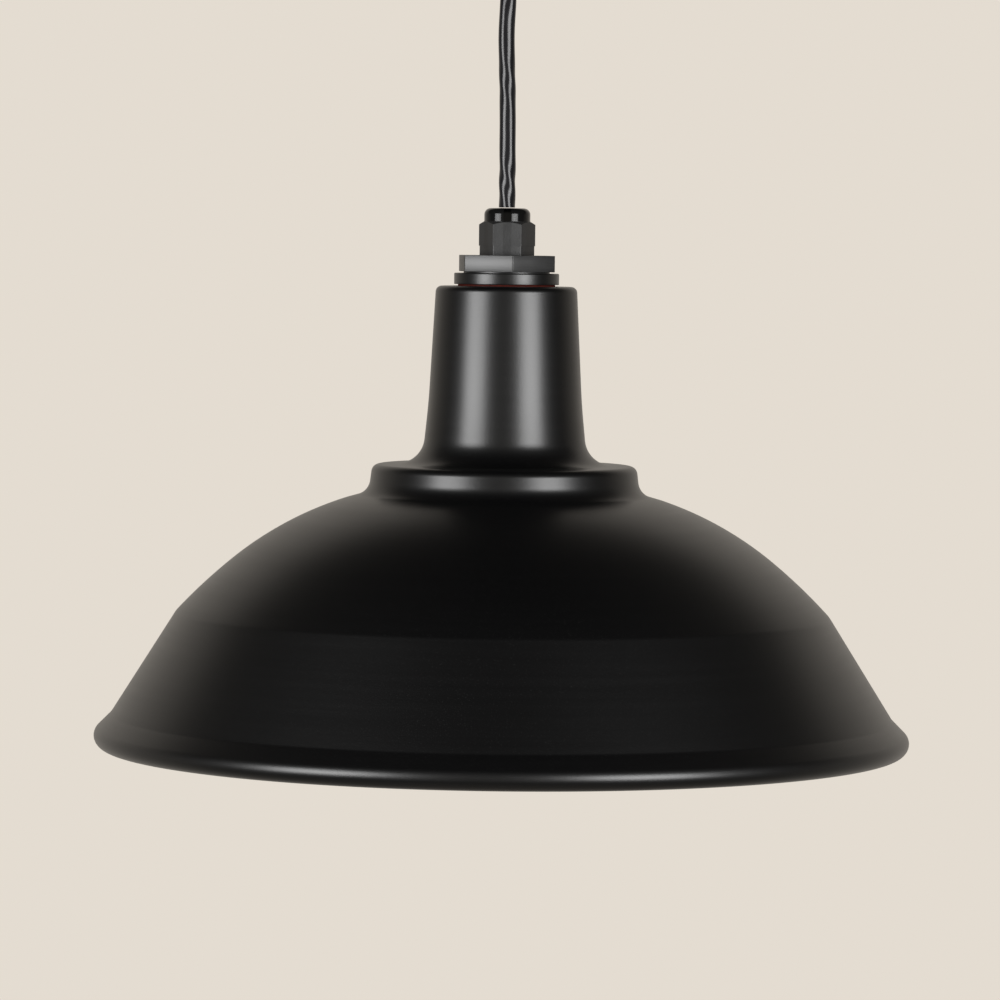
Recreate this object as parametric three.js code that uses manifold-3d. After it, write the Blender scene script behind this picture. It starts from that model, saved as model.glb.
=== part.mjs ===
// Pendant ceiling light: a spun, stepped metal shade hangs by its flex from a ceiling rose.
// Millimetres, +Z up. The origin is the middle of the rose's face against the ceiling, so the
// lamp hangs towards -Z. The front of the lamp looks along -Y.
import * as THREE from "three";
import { mergeVertices } from "three/addons/utils/BufferGeometryUtils.js";
import Module from "manifold-3d";

const wasm = await Module();
wasm.setup();

// ---- Clearances ----
const SEAT = 0.05; // between faces that are screwed down on each other
const FIT = 0.3; // round a piece that sits in a cut or a bore
const CORD_FIT = 0.3; // round and at the ends of the flex

// ---- Driving dimensions: flex ----
const CORD_D = 7.1;
const CORE_D = 2.2;
const FREE_CORD = 98.7; // from the strain relief's mouth to the gland

// ---- Driving dimensions: ceiling rose ----
const ROSE_R = 50;
const ROSE_H = 26;
const ROSE_WALL = 1.2;
const ROSE_ROUND = 4;
const STRAP_WIDTH = 18;
const STRAP_THICK = 1.5;
const STRAP_EAR = 12;
const EAR_WIDTH = 12.6;
const GRIP_COLLAR_R = 10;
const GRIP_COLLAR_H = 8;
const GRIP_THREAD_R = 8;
const GRIP_THREAD_H = 7;
const SLEEVE_H = 22;
const SLEEVE_TOP_R = 6.4;
const SLEEVE_TIP_R = 4.9;
const SLEEVE_COLLAR_H = 4;

// ---- Driving dimensions: gland, adaptor and seal on the neck ----
const DOME_H = 5.8;
const DOME_R = 10.1;
const NUT_AF = 21.4;
const NUT_H = 10.7;
const NUT_CHAMFER = 1.4;
const BODY_HEX_AF = 20.9;
const BODY_HEX_H = 4.05;
const GLAND_THREAD_R = 8;
const GLAND_THREAD_H = 8;
const ADAPTOR_AF = 39.7;
const ADAPTOR_HEX_H = 7.15;
const ADAPTOR_TURN = -23.5; // degrees, how the hexagon happens to stand when it is tight
const ADAPTOR_NECK_H = 0.6;
const SPIGOT_R = 12.4;
const SPIGOT_DEPTH = 14;
const ADAPTOR_NECK_INSET = 1;
const FLANGE_R = 23;
const FLANGE_H = 4.9;
const FLANGE_ROUND = 0.4;
const GASKET_R = 21.4;
const GASKET_H = 0.7;

// ---- Driving dimensions: shade, heights measured down from the neck's top face ----
const SHADE_WALL = 1.2;
const NECK_TOP_R = 30.9;
const NECK_MID_R = 33.6;
const NECK_MID_DEPTH = 51;
const NECK_FOOT_R = 36.3;
const SHOULDER_DEPTH = 77.9;
const SHOULDER_FALL = 0.55;
const SHOULDER_R = 58;
const BAND_R = 59.5;
const BAND_DEPTH = 90.6;
const DOME_START_SLOPE = 14;
const CROWN_ARC_R = 151.5;
const CROWN_END_SLOPE = 39.2;
const SKIRT_ARC_R = 236.7;
const KINK_DEPTH = 143.7;
const CONE_SLOPE = 57.9;
const FLARE_DEPTH = 188.5;
const FLARE_SLOPE = 45;
const BEAD_OUTER_R = 178.9;
const BEAD_R = 5.2;
const NECK_TOP_ROUND = 2.7;
const FOOT_ROUND = 13.3;
const SHOULDER_ROUND = 3.6;
const BAND_ROUND = 7.6;
const FLARE_ROUND = 5;

// ---- Driving dimensions: lampholder ----
const HOLDER_R = 19.5;
const HOLDER_WALL = 2.2;
const HOLDER_CAP_H = 25;
const HOLDER_SKIRT_H = 33;
const NIPPLE_WALL = 1.1;
const SCREW_SHELL_R = 13.5;
const SCREW_SHELL_WALL = 0.5;
const SCREW_SHELL_H = 23;

// ---- Driving dimensions: lamp ----
const LAMP_CAP_R = 13.1;
const LAMP_CAP_H = 22;
const LAMP_R = 30;
const LAMP_LENGTH = 106;
const LAMP_WALL = 1.2;

// ---- Derived places ----
const nippleBore = CORD_D / 2 + CORD_FIT;
const nippleR = nippleBore + NIPPLE_WALL;
const gripFoot = -(ROSE_H + GRIP_COLLAR_H);
const sleeveTop = gripFoot - SEAT;
const sleeveTip = sleeveTop - SLEEVE_H;
const glandTop = sleeveTip - FREE_CORD;
const domeFoot = -DOME_H;
const nutFoot = domeFoot - NUT_H;
const bodyHexFoot = nutFoot - SEAT - BODY_HEX_H;
const adaptorTop = bodyHexFoot - SEAT;
const adaptorHexFoot = adaptorTop - ADAPTOR_HEX_H;
const flangeTop = adaptorHexFoot - ADAPTOR_NECK_H - SEAT;
const flangeFoot = flangeTop - FLANGE_H;
const gasketFoot = flangeFoot - SEAT - GASKET_H;
const neckTop = glandTop + gasketFoot - SEAT;
const gland = (depth) => glandTop + depth;
const below = (depth) => neckTop - depth;

// ---- Materials ----
const finish = (color, roughness, metalness) =>
  new THREE.MeshStandardMaterial({ color, roughness, metalness });
const blackPaint = finish(0x0b0b0c, 0.4, 0);
const blackNylon = finish(0x161617, 0.45, 0);
const blackRubber = finish(0x101010, 0.8, 0);
const blackFlex = finish(0x0a0a0a, 0.2, 0);
const redRubber = finish(0x7a2416, 0.7, 0);
const steel = finish(0x9a9a9c, 0.35, 1);
const brass = finish(0xb08d4c, 0.3, 1);
const nickel = finish(0xb9b6ae, 0.3, 1);
const porcelain = finish(0xe9e6dd, 0.25, 0);
const whitePlastic = finish(0xe8e8e6, 0.4, 0);
const opal = finish(0xf2f0ea, 0.3, 0);
const boardGreen = finish(0x1c4a30, 0.5, 0);
const aluminium = finish(0xc4c6c8, 0.4, 1);
const coreColours = {
  live: finish(0x5a3218, 0.5, 0),
  neutral: finish(0x1f4f94, 0.5, 0),
  earth: finish(0x7f9a2a, 0.5, 0),
};

const lamp = new THREE.Group();

function add(name, geometry, material) {
  const mesh = new THREE.Mesh(geometry, material);
  mesh.name = name;
  lamp.add(mesh);
  return mesh;
}

// ---- Outlines and shapes ----
const radians = THREE.MathUtils.degToRad;

// Corners are [radius, height, rounding]; a corner with a rounding becomes an arc of that radius.
function rounded(corners, steps = 4) {
  const points = [];
  corners.forEach(([x, z, rounding], i) => {
    const corner = new THREE.Vector2(x, z);
    if (!rounding || i === 0 || i === corners.length - 1) {
      points.push(corner);
      return;
    }
    const before = new THREE.Vector2(...corners[i - 1]).sub(corner);
    const after = new THREE.Vector2(...corners[i + 1]).sub(corner);
    const half = Math.abs(before.angleTo(after)) / 2;
    const wanted = rounding / Math.tan(half);
    const reach = Math.min(wanted, 0.49 * before.length(), 0.49 * after.length());
    const radius = reach * Math.tan(half);
    const from = before.normalize().multiplyScalar(reach);
    const to = after.normalize().multiplyScalar(reach);
    const middle = from.clone().add(to).normalize().multiplyScalar(radius / Math.sin(half));
    const spokeFrom = from.clone().sub(middle);
    const spokeTo = to.clone().sub(middle);
    const sweep = Math.acos(THREE.MathUtils.clamp(spokeFrom.dot(spokeTo) / radius ** 2, -1, 1));
    for (let k = 0; k <= steps; k++) {
      const a = Math.sin((1 - k / steps) * sweep) / Math.sin(sweep);
      const b = Math.sin((k / steps) * sweep) / Math.sin(sweep);
      const spoke = spokeFrom.clone().multiplyScalar(a).addScaledVector(spokeTo, b);
      points.push(corner.clone().add(middle).add(spoke));
    }
  });
  return points;
}

// An arc of points round a centre, angles in degrees from the +radius direction.
function arc(x, z, radius, from, to, steps) {
  return Array.from({ length: steps + 1 }, (_, k) => {
    const angle = radians(from + ((to - from) * k) / steps);
    return new THREE.Vector2(x + radius * Math.cos(angle), z + radius * Math.sin(angle));
  });
}

// The same line moved sideways, to its left as it runs, for the other face of a sheet.
function moved(points, distance) {
  return points.map((point, i) => {
    const before = points[Math.max(i - 1, 0)];
    const after = points[Math.min(i + 1, points.length - 1)];
    const along = after.clone().sub(before).normalize();
    return new THREE.Vector2(point.x - along.y * distance, point.y + along.x * distance);
  });
}

// Turns a closed outline about Z. Either direction of the outline will do.
function turned(outline, sides = 24) {
  const points = outline.map((p) => (p.isVector2 ? p.clone() : new THREE.Vector2(p[0], p[1])));
  const area = THREE.ShapeUtils.area(points);
  if (area < 0) points.reverse();
  const open = points[0].x > 0 || points[points.length - 1].x > 0;
  if (open) points.push(points[0].clone());
  return new THREE.LatheGeometry(points, sides).rotateX(Math.PI / 2);
}

// A plain ring between two radii and two heights.
function ring(inner, outer, foot, top, sides = 24) {
  return turned([[inner, foot], [outer, foot], [outer, top], [inner, top]], sides);
}

function disc(radius, foot, top, sides = 20) {
  return turned([[0, foot], [radius, foot], [radius, top], [0, top]], sides);
}

// A prism with its flat faces across the given size and, for a start of 0, a flat at the front.
function polygonPrism(corners, acrossFlats, foot, height, boreR, turn = 0) {
  const cornerR = acrossFlats / 2 / Math.cos(Math.PI / corners);
  const shape = new THREE.Shape();
  for (let k = 0; k < corners; k++) {
    const angle = radians(turn) + (k * 2 * Math.PI) / corners;
    const x = cornerR * Math.cos(angle);
    const y = cornerR * Math.sin(angle);
    if (k === 0) shape.moveTo(x, y);
    else shape.lineTo(x, y);
  }
  shape.closePath();
  if (boreR) shape.holes.push(new THREE.Path().absarc(0, 0, boreR, 0, 2 * Math.PI, true));
  const geometry = new THREE.ExtrudeGeometry(shape, {
    depth: height,
    bevelEnabled: false,
    curveSegments: 16,
  });
  return geometry.translate(0, 0, foot);
}

function block(width, depth, height, x, y, z) {
  return new THREE.BoxGeometry(width, depth, height).translate(x, y, z);
}

// A round bar along a smooth curve through the points.
function bar(points, diameter, sides, steps) {
  const curve = new THREE.CatmullRomCurve3(points.map((p) => new THREE.Vector3(...p)));
  const section = new THREE.Shape(
    Array.from({ length: sides }, (_, k) => {
      const angle = (k * 2 * Math.PI) / sides;
      return new THREE.Vector2(
        (diameter / 2) * Math.cos(angle),
        (diameter / 2) * Math.sin(angle),
      );
    }),
  );
  return new THREE.ExtrudeGeometry(section, { steps, extrudePath: curve, bevelEnabled: false });
}

// ---- Joining and cutting ----
function solid(geometry) {
  const bare = geometry.clone();
  bare.deleteAttribute("normal");
  bare.deleteAttribute("uv");
  const merged = mergeVertices(bare, 1e-4);
  return new wasm.Manifold(
    new wasm.Mesh({
      numProp: 3,
      vertProperties: merged.attributes.position.array,
      triVerts: new Uint32Array(merged.index.array),
    }),
  );
}

function geometryOf(manifold) {
  const mesh = manifold.getMesh();
  const geometry = new THREE.BufferGeometry();
  geometry.setAttribute("position", new THREE.BufferAttribute(mesh.vertProperties, 3));
  geometry.setIndex(new THREE.BufferAttribute(mesh.triVerts, 1));
  geometry.computeVertexNormals();
  return geometry;
}

function cut(geometry, ...tools) {
  return geometryOf(tools.reduce((left, tool) => left.subtract(solid(tool)), solid(geometry)));
}

function joined(geometry, ...others) {
  return geometryOf(others.reduce((whole, other) => whole.add(solid(other)), solid(geometry)));
}

function common(geometry, other) {
  return geometryOf(solid(geometry).intersect(solid(other)));
}

// A screw along Z: a shank under a head, with a slot across the head. The head's top is at z 0.
function screw(shankR, shankLength, headR, headH) {
  const body = turned(
    [
      [0, 0],
      [headR * 0.7, 0],
      [headR, -headH * 0.5],
      [headR, -headH],
      [shankR, -headH],
      [shankR, -headH - shankLength],
      [0, -headH - shankLength],
    ],
    16,
  );
  return cut(body, block(headR * 3, headR * 0.28, headH * 0.8, 0, 0, 0));
}

// ---- Ceiling rose: strap, cover and its screws ----
const SIDE_SCREW_R = 2;
const SIDE_SCREW_Z = -ROSE_H / 2;
const SIDE_SCREW_HEAD_R = 4;
const SIDE_SCREW_HEAD_H = 2.4;
const SIDE_SCREW_END = 2; // beyond the ear
const SLOT_SPREAD = 26;
const SLOT_LENGTH = 12;
const SLOT_WIDTH = 4.5;
const EARTH_SCREW_R = 1.8;
const EARTH_SCREW_HEAD_R = 3.4;
const EARTH_SCREW_HEAD_H = 2;
const EARTH_SCREW_X = -SLOT_SPREAD - SLOT_LENGTH;
const coverInside = ROSE_R - ROSE_WALL;
const earOutside = Math.sqrt((coverInside - FIT) ** 2 - (STRAP_WIDTH / 2) ** 2) - FIT;
const earInside = earOutside - STRAP_THICK;
const coverBore = GRIP_THREAD_R + FIT;

function roseStrap() {
  const width = 2 * earOutside;
  const plate = block(width, STRAP_WIDTH, STRAP_THICK, 0, 0, -STRAP_THICK / 2);
  const earHeight = ROSE_H / 2 + STRAP_EAR / 2;
  const ears = [-1, 1].map((side) =>
    block(
      STRAP_THICK,
      EAR_WIDTH,
      earHeight,
      side * (earInside + STRAP_THICK / 2),
      0,
      -earHeight / 2,
    ),
  );
  const slots = [-1, 1].map((side) =>
    block(SLOT_LENGTH, SLOT_WIDTH, 3 * STRAP_THICK, side * SLOT_SPREAD, 0, -STRAP_THICK / 2),
  );
  const screwHole = disc(SIDE_SCREW_R + FIT, -ROSE_R, ROSE_R, 16)
    .rotateY(Math.PI / 2)
    .translate(0, 0, SIDE_SCREW_Z);
  const earthHole = disc(EARTH_SCREW_R + FIT, -ROSE_H, ROSE_H, 12).translate(EARTH_SCREW_X, 0, 0);
  return cut(joined(plate, ...ears), ...slots, screwHole, earthHole);
}

function roseCover() {
  const outer = rounded(
    [
      [coverBore, -ROSE_H],
      [ROSE_R, -ROSE_H, ROSE_ROUND],
      [ROSE_R, 0],
    ],
    3,
  );
  const inner = rounded(
    [
      [coverInside, 0],
      [coverInside, -ROSE_H + ROSE_WALL, ROSE_ROUND - ROSE_WALL],
      [coverBore, -ROSE_H + ROSE_WALL],
    ],
    3,
  );
  const screwHole = disc(SIDE_SCREW_R + FIT, -2 * ROSE_R, 2 * ROSE_R, 16)
    .rotateY(Math.PI / 2)
    .translate(0, 0, SIDE_SCREW_Z);
  return cut(turned([...outer, ...inner], 40), screwHole);
}

add("rose_strap", roseStrap(), steel);
add("rose_cover", roseCover(), blackPaint);
for (const [side, name] of [[-1, "left"], [1, "right"]]) {
  const length = ROSE_R - earInside + SIDE_SCREW_END;
  const geometry = screw(SIDE_SCREW_R, length, SIDE_SCREW_HEAD_R, SIDE_SCREW_HEAD_H)
    .rotateY((side * Math.PI) / 2)
    .translate(side * (ROSE_R + SEAT + SIDE_SCREW_HEAD_H), 0, SIDE_SCREW_Z);
  add("rose_cover_screw_" + name, geometry, steel);
}

// ---- Ceiling rose: cord grip, its locknut and its clamping screw ----
const CLAMP_R = 1.5;
const CLAMP_SLOT_WIDTH = 0.6;
const CLAMP_SLOT_DEPTH = 0.6;
const CLAMP_SINK = 0.2; // below the collar's surface
const GRIP_CHAMFER = 1;
const GRIP_NUT_AF = 20;
const GRIP_NUT_H = 4;
const gripBore = CORD_D / 2 + CORD_FIT;
const gripThreadTop = -ROSE_H + ROSE_WALL + GRIP_THREAD_H;
const clampZ = -ROSE_H - GRIP_COLLAR_H / 2;

function roseGrip() {
  const body = turned([
    [gripBore, gripFoot],
    [GRIP_COLLAR_R - GRIP_CHAMFER, gripFoot],
    [GRIP_COLLAR_R, gripFoot + GRIP_CHAMFER],
    [GRIP_COLLAR_R, -ROSE_H - SEAT],
    [GRIP_THREAD_R, -ROSE_H - SEAT],
    [GRIP_THREAD_R, gripThreadTop],
    [gripBore, gripThreadTop],
  ]);
  const clampHole = disc(CLAMP_R + FIT, 0, 2 * GRIP_COLLAR_R, 12)
    .rotateX(Math.PI / 2)
    .translate(0, 0, clampZ);
  return cut(body, clampHole);
}

add("rose_cord_grip", roseGrip(), blackNylon);
add(
  "rose_grip_locknut",
  polygonPrism(6, GRIP_NUT_AF, -ROSE_H + ROSE_WALL + SEAT, GRIP_NUT_H, GRIP_THREAD_R + FIT),
  steel,
);
const clampLength = GRIP_COLLAR_R - gripBore - CLAMP_SINK - FIT;
add(
  "rose_grip_clamp_screw",
  cut(
    disc(CLAMP_R, -clampLength, 0, 12),
    block(3 * CLAMP_R, CLAMP_SLOT_WIDTH, 2 * CLAMP_SLOT_DEPTH, 0, 0, 0),
  )
    .rotateX(Math.PI / 2)
    .translate(0, -GRIP_COLLAR_R + CLAMP_SINK, clampZ),
  steel,
);

// ---- Ceiling rose: terminal block, its screws and the earth screw ----
const BLOCK_WIDTH = 28;
const BLOCK_DEPTH = 13;
const BLOCK_HEIGHT = 11;
const BLOCK_Y = 26;
const BLOCK_GAP = 0.5; // under the strap
const TONGUE_WIDTH = 8;
const TONGUE_THICK = 2;
const TERMINAL_PITCH = 9;
const TERMINAL_SCREW_R = 1.5;
const TERMINAL_SINK = 1; // each screw's head, inside its well
const blockTop = -STRAP_THICK - BLOCK_GAP;
const wayZ = blockTop - BLOCK_HEIGHT / 2;
const conductors = ["live", "neutral", "earth"];
const terminalX = (k) => (k - 1) * TERMINAL_PITCH;

function terminalBlock() {
  const body = block(BLOCK_WIDTH, BLOCK_DEPTH, BLOCK_HEIGHT, 0, BLOCK_Y, wayZ);
  const tongue = block(
    TONGUE_WIDTH,
    BLOCK_Y,
    TONGUE_THICK,
    0,
    BLOCK_Y / 2 + STRAP_WIDTH / 4,
    blockTop - TONGUE_THICK / 2,
  );
  const ways = conductors.map((_, k) =>
    disc(CORE_D / 2 + FIT, -BLOCK_DEPTH, BLOCK_DEPTH, 12)
      .rotateX(Math.PI / 2)
      .translate(terminalX(k), BLOCK_Y, wayZ),
  );
  const wells = conductors.map((_, k) =>
    disc(TERMINAL_SCREW_R + FIT, wayZ, wayZ + BLOCK_HEIGHT, 12)
      .rotateX(Math.PI)
      .translate(terminalX(k), BLOCK_Y, 2 * wayZ),
  );
  return cut(joined(body, tongue), ...ways, ...wells);
}

add("rose_terminal_block", terminalBlock(), porcelain);
conductors.forEach((name, k) => {
  const length = BLOCK_HEIGHT / 2 - CORE_D / 2 - 2 * FIT - TERMINAL_SINK;
  const foot = wayZ - CORE_D / 2 - 2 * FIT - length;
  add(
    "rose_terminal_screw_" + name,
    disc(TERMINAL_SCREW_R, foot, foot + length, 10).translate(terminalX(k), BLOCK_Y, 0),
    brass,
  );
});
add(
  "rose_earth_screw",
  screw(EARTH_SCREW_R, STRAP_THICK - SEAT, EARTH_SCREW_HEAD_R, EARTH_SCREW_HEAD_H)
    .rotateX(Math.PI)
    .translate(EARTH_SCREW_X, 0, -STRAP_THICK - SEAT - EARTH_SCREW_HEAD_H),
  brass,
);

// ---- Flex inside the rose, and its three cores ----
const TAIL_SHOW = 2; // sheath above the grip
const CORE_SPREAD = 2.5; // between cores where they leave the sheath
const tailTop = gripThreadTop + TAIL_SHOW;
add(
  "cord_tail_rose",
  disc(CORD_D / 2, sleeveTop + CORD_FIT, tailTop, 10),
  blackFlex,
);
conductors.forEach((name, k) => {
  const spread = (k - 1) * CORE_SPREAD;
  const end = terminalX(k);
  const entry = BLOCK_Y - BLOCK_DEPTH / 2;
  const route = [
    [spread, 0.4, tailTop + 1.4],
    [spread * 1.2, 1.6, tailTop + 3],
    [(spread + end) / 2, 8, (tailTop + wayZ) / 2 + 1.4],
    [end, entry - 4, wayZ],
    [end, entry + 2, wayZ],
    [end, BLOCK_Y + 2, wayZ],
  ];
  add("rose_core_" + name, bar(route, CORE_D, 6, 16), coreColours[name]);
});

// ---- Strain relief sleeve under the rose ----
function sleeve() {
  const bore = CORD_D / 2 + CORD_FIT;
  return turned(
    [
      [bore, sleeveTip],
      [SLEEVE_TIP_R, sleeveTip],
      [SLEEVE_TOP_R, sleeveTop - SLEEVE_COLLAR_H],
      [SLEEVE_TOP_R, sleeveTop],
      [bore, sleeveTop],
    ],
    20,
  );
}

add("strain_relief_sleeve", sleeve(), blackRubber);

// ---- The free flex, from the sleeve's mouth to the gland ----
const cordTop = sleeveTip - CORD_FIT;
const cordFoot = glandTop + CORD_FIT;
const CORD_STEPS = 6;
const cordRoute = Array.from({ length: CORD_STEPS + 1 }, (_, k) => [
  0,
  0,
  THREE.MathUtils.lerp(cordTop, cordFoot, k / CORD_STEPS),
]);
add("cord", bar(cordRoute, CORD_D, 12, CORD_STEPS), blackFlex);

// ---- Cable gland: dome nut, seal, clamping claw and body ----
const DOME_ROUND = 3.2;
const DOME_WALL = 2.2; // over the seal
const DOME_MOUTH_WIDTH = 1.2;
const NUT_THREAD_DEPTH = 0.7;
const CLAW_WALL = 1.2;
const CLAW_CUT_WIDTH = 0.8;
const CLAW_CUT_DEPTH = 2.5;
const SEAL_H = 8;
const glandBore = CORD_D / 2 + CORD_FIT;
const nutThreadR = GLAND_THREAD_R + NUT_THREAD_DEPTH;
const clawR = GLAND_THREAD_R - CLAW_WALL;

function domeNut() {
  const nutCorner = NUT_AF / 2 / Math.cos(Math.PI / 6);
  const chamferEnd = domeFoot - NUT_CHAMFER;
  const shell = turned(
    [
      ...rounded(
        [
          [glandBore, gland(0)],
          [DOME_R, gland(0), DOME_ROUND],
          [DOME_R, gland(domeFoot)],
        ],
        4,
      ),
      [nutCorner + 0.1, gland(chamferEnd)],
      [nutCorner + 0.1, gland(nutFoot)],
      [nutThreadR + FIT, gland(nutFoot)],
      [nutThreadR + FIT, gland(domeFoot)],
      [glandBore + DOME_MOUTH_WIDTH, gland(-DOME_WALL)],
      [glandBore, gland(-DOME_WALL)],
    ],
    30,
  );
  return common(shell, polygonPrism(6, NUT_AF, gland(nutFoot) - 1, DOME_H + NUT_H + 2));
}

add("gland_dome_nut", domeNut(), blackNylon);

const claw = {
  top: domeFoot + 1,
  foot: nutFoot + 1.5,
  inner: clawR - CLAW_WALL,
};
function glandClaw() {
  const cuts = [0, 1, 2].map((k) =>
    block(3 * clawR, CLAW_CUT_WIDTH, 2 * CLAW_CUT_DEPTH, 0, 0, 0)
      .rotateZ((k * Math.PI) / 3)
      .translate(0, 0, gland(claw.top)),
  );
  return cut(ring(claw.inner, clawR, gland(claw.foot), gland(claw.top), 24), ...cuts);
}

add("gland_claw", glandClaw(), blackNylon);
add(
  "gland_seal",
  ring(glandBore, claw.inner - FIT, gland(claw.top - SEAL_H), gland(claw.top - 0.5), 20),
  blackRubber,
);

function glandBody() {
  const stem = turned([
    [glandBore, gland(adaptorTop - GLAND_THREAD_H)],
    [GLAND_THREAD_R, gland(adaptorTop - GLAND_THREAD_H)],
    [GLAND_THREAD_R, gland(adaptorTop + SEAT)],
    [GLAND_THREAD_R, gland(bodyHexFoot + BODY_HEX_H / 2)],
    [nutThreadR, gland(bodyHexFoot + BODY_HEX_H / 2)],
    [nutThreadR, gland(domeFoot - 1.5)],
    [clawR + FIT, gland(domeFoot - 1.5)],
    [clawR + FIT, gland(claw.foot - SEAT)],
    [glandBore, gland(claw.foot - SEAT)],
  ]);
  const hexagon = polygonPrism(6, BODY_HEX_AF, gland(bodyHexFoot), BODY_HEX_H, GLAND_THREAD_R - 1);
  return joined(stem, hexagon);
}

add("gland_body", glandBody(), blackNylon);

// ---- Adaptor with its spigot, flange washer and gasket ----
const THREAD_RUNOUT = 1; // below the gland's thread
const NIPPLE_DEPTH = 4; // of the nipple's top, inside the spigot
const spigotFoot = -SPIGOT_DEPTH;
const nippleTop = -NIPPLE_DEPTH;

function hexAdaptor() {
  const hexagon = polygonPrism(
    6,
    ADAPTOR_AF,
    gland(adaptorHexFoot),
    ADAPTOR_HEX_H,
    GLAND_THREAD_R + FIT,
    ADAPTOR_TURN,
  );
  const threadFloor = gland(adaptorTop - GLAND_THREAD_H - THREAD_RUNOUT);
  const neckR = ADAPTOR_AF / 2 - ADAPTOR_NECK_INSET;
  const core = turned([
    [GLAND_THREAD_R + FIT, gland(adaptorHexFoot + 2)],
    [neckR, gland(adaptorHexFoot + 2)],
    [neckR, gland(flangeTop + SEAT)],
    [SPIGOT_R, gland(flangeTop + SEAT)],
    [SPIGOT_R, neckTop + spigotFoot],
    [nippleR + FIT, neckTop + spigotFoot],
    [nippleR + FIT, neckTop + nippleTop + SEAT],
    [glandBore, neckTop + nippleTop + SEAT],
    [glandBore, threadFloor],
    [GLAND_THREAD_R + FIT, threadFloor],
  ]);
  return joined(hexagon, core);
}

add("hex_adaptor", hexAdaptor(), steel);

function edged(inner, outer, foot, top, edge, sides) {
  return turned(
    rounded(
      [
        [inner, foot],
        [outer, foot, edge],
        [outer, top, edge],
        [inner, top],
      ],
      2,
    ),
    sides,
  );
}

const spigotBore = SPIGOT_R + FIT;
add(
  "flange_washer",
  edged(spigotBore, FLANGE_R, gland(flangeFoot), gland(flangeTop), FLANGE_ROUND, 32),
  blackPaint,
);
add(
  "neck_gasket",
  ring(spigotBore, GASKET_R, gland(gasketFoot), gland(flangeFoot - SEAT), 32),
  redRubber,
);

// ---- Shade: one spinning from the neck to the rolled bead ----
function shadeFace(roundSteps, domeSteps) {
  // The dome is two arcs, a tighter crown that runs into a flatter skirt.
  const start = radians(DOME_START_SLOPE);
  const change = radians(CROWN_END_SLOPE);
  const crownX = BAND_R - CROWN_ARC_R * Math.sin(start);
  const crownDepth = BAND_DEPTH + CROWN_ARC_R * Math.cos(start);
  const skirtX = crownX + (CROWN_ARC_R - SKIRT_ARC_R) * Math.sin(change);
  const skirtDepth = crownDepth - (CROWN_ARC_R - SKIRT_ARC_R) * Math.cos(change);
  const kinkSlope = Math.acos((skirtDepth - KINK_DEPTH) / SKIRT_ARC_R);
  const kinkR = skirtX + SKIRT_ARC_R * Math.sin(kinkSlope);
  // The cone runs down to a short flare, which is tangent to the bead.
  const flareR = kinkR + (FLARE_DEPTH - KINK_DEPTH) / Math.tan(radians(CONE_SLOPE));
  const flare = radians(FLARE_SLOPE);
  const beadCentreR = BEAD_OUTER_R - BEAD_R;
  const tangentR = beadCentreR + BEAD_R * Math.sin(flare);
  const tangentDepth = FLARE_DEPTH + (tangentR - flareR) * Math.tan(flare);
  const beadDepth = tangentDepth + BEAD_R * Math.cos(flare);
  const fromSlope = (slope) => 90 - THREE.MathUtils.radToDeg(slope);
  const crownStart = fromSlope(start) - 4;
  const crown = arc(
    crownX,
    below(crownDepth),
    CROWN_ARC_R,
    crownStart,
    fromSlope(change),
    domeSteps,
  );
  const skirt = arc(
    skirtX,
    below(skirtDepth),
    SKIRT_ARC_R,
    fromSlope(change),
    fromSlope(kinkSlope),
    2,
  );
  const upper = rounded(
    [
      [spigotBore, below(0)],
      [NECK_TOP_R, below(0), NECK_TOP_ROUND],
      [NECK_MID_R, below(NECK_MID_DEPTH)],
      [NECK_FOOT_R, below(SHOULDER_DEPTH), FOOT_ROUND],
      [SHOULDER_R, below(SHOULDER_DEPTH + SHOULDER_FALL), SHOULDER_ROUND],
      [BAND_R, below(BAND_DEPTH), BAND_ROUND],
      [crown[0].x, crown[0].y],
    ],
    roundSteps,
  );
  const lower = rounded(
    [
      [kinkR, below(KINK_DEPTH)],
      [flareR, below(FLARE_DEPTH), FLARE_ROUND],
      [tangentR, below(tangentDepth)],
    ],
    2,
  );
  const face = [...upper, ...crown.slice(1), ...skirt.slice(1), ...lower.slice(1)];
  return { face, beadCentreR, beadDepth };
}

function shade() {
  const { face, beadCentreR, beadDepth } = shadeFace(3, 4);
  const back = moved(shadeFace(2, 3).face, -SHADE_WALL);
  const beadUpper = arc(beadCentreR, below(beadDepth), BEAD_R, 90 - FLARE_SLOPE, 0, 2);
  const beadLower = arc(beadCentreR, below(beadDepth), BEAD_R, 0, -210, 7);
  const inside = back.filter((p) => p.x < beadCentreR - BEAD_R * 0.9);
  const outline = [...face, ...beadUpper.slice(1), ...beadLower.slice(1), ...inside.reverse()];
  return turned(outline, 44);
}

add("shade", shade(), blackPaint);

// ---- Inside the neck: washer, locknut, nipple, its nut and the earth tag ----
const neckInside = -SHADE_WALL - SEAT;
const WASHER_H = 2;
const LOCKNUT_H = 6;
const NECK_WASHER_WIDTH = 7.7;
const LOCKNUT_WALL = 3.3;
const locknutAF = 2 * (spigotBore + LOCKNUT_WALL);
const locknutTop = neckInside - WASHER_H - SEAT;
const NIPPLE_NUT_H = 3;
const NIPPLE_NUT_WALL = 2;
const nippleNutAF = 2 * (nippleR + NIPPLE_NUT_WALL);
const TAG_H = 0.8;
const TAG_EYE_WALL = 3.2;
const TAG_BLADE_LENGTH = 11;
const TAG_BLADE_WIDTH = 6.3;
const NIPPLE_END = 9; // inside the lampholder's cap
const tagEyeR = nippleR + FIT + TAG_EYE_WALL;
const tagTop = spigotFoot - SEAT;
const nippleNutTop = tagTop - TAG_H - SEAT;
const nippleNutFoot = nippleNutTop - NIPPLE_NUT_H;
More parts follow.
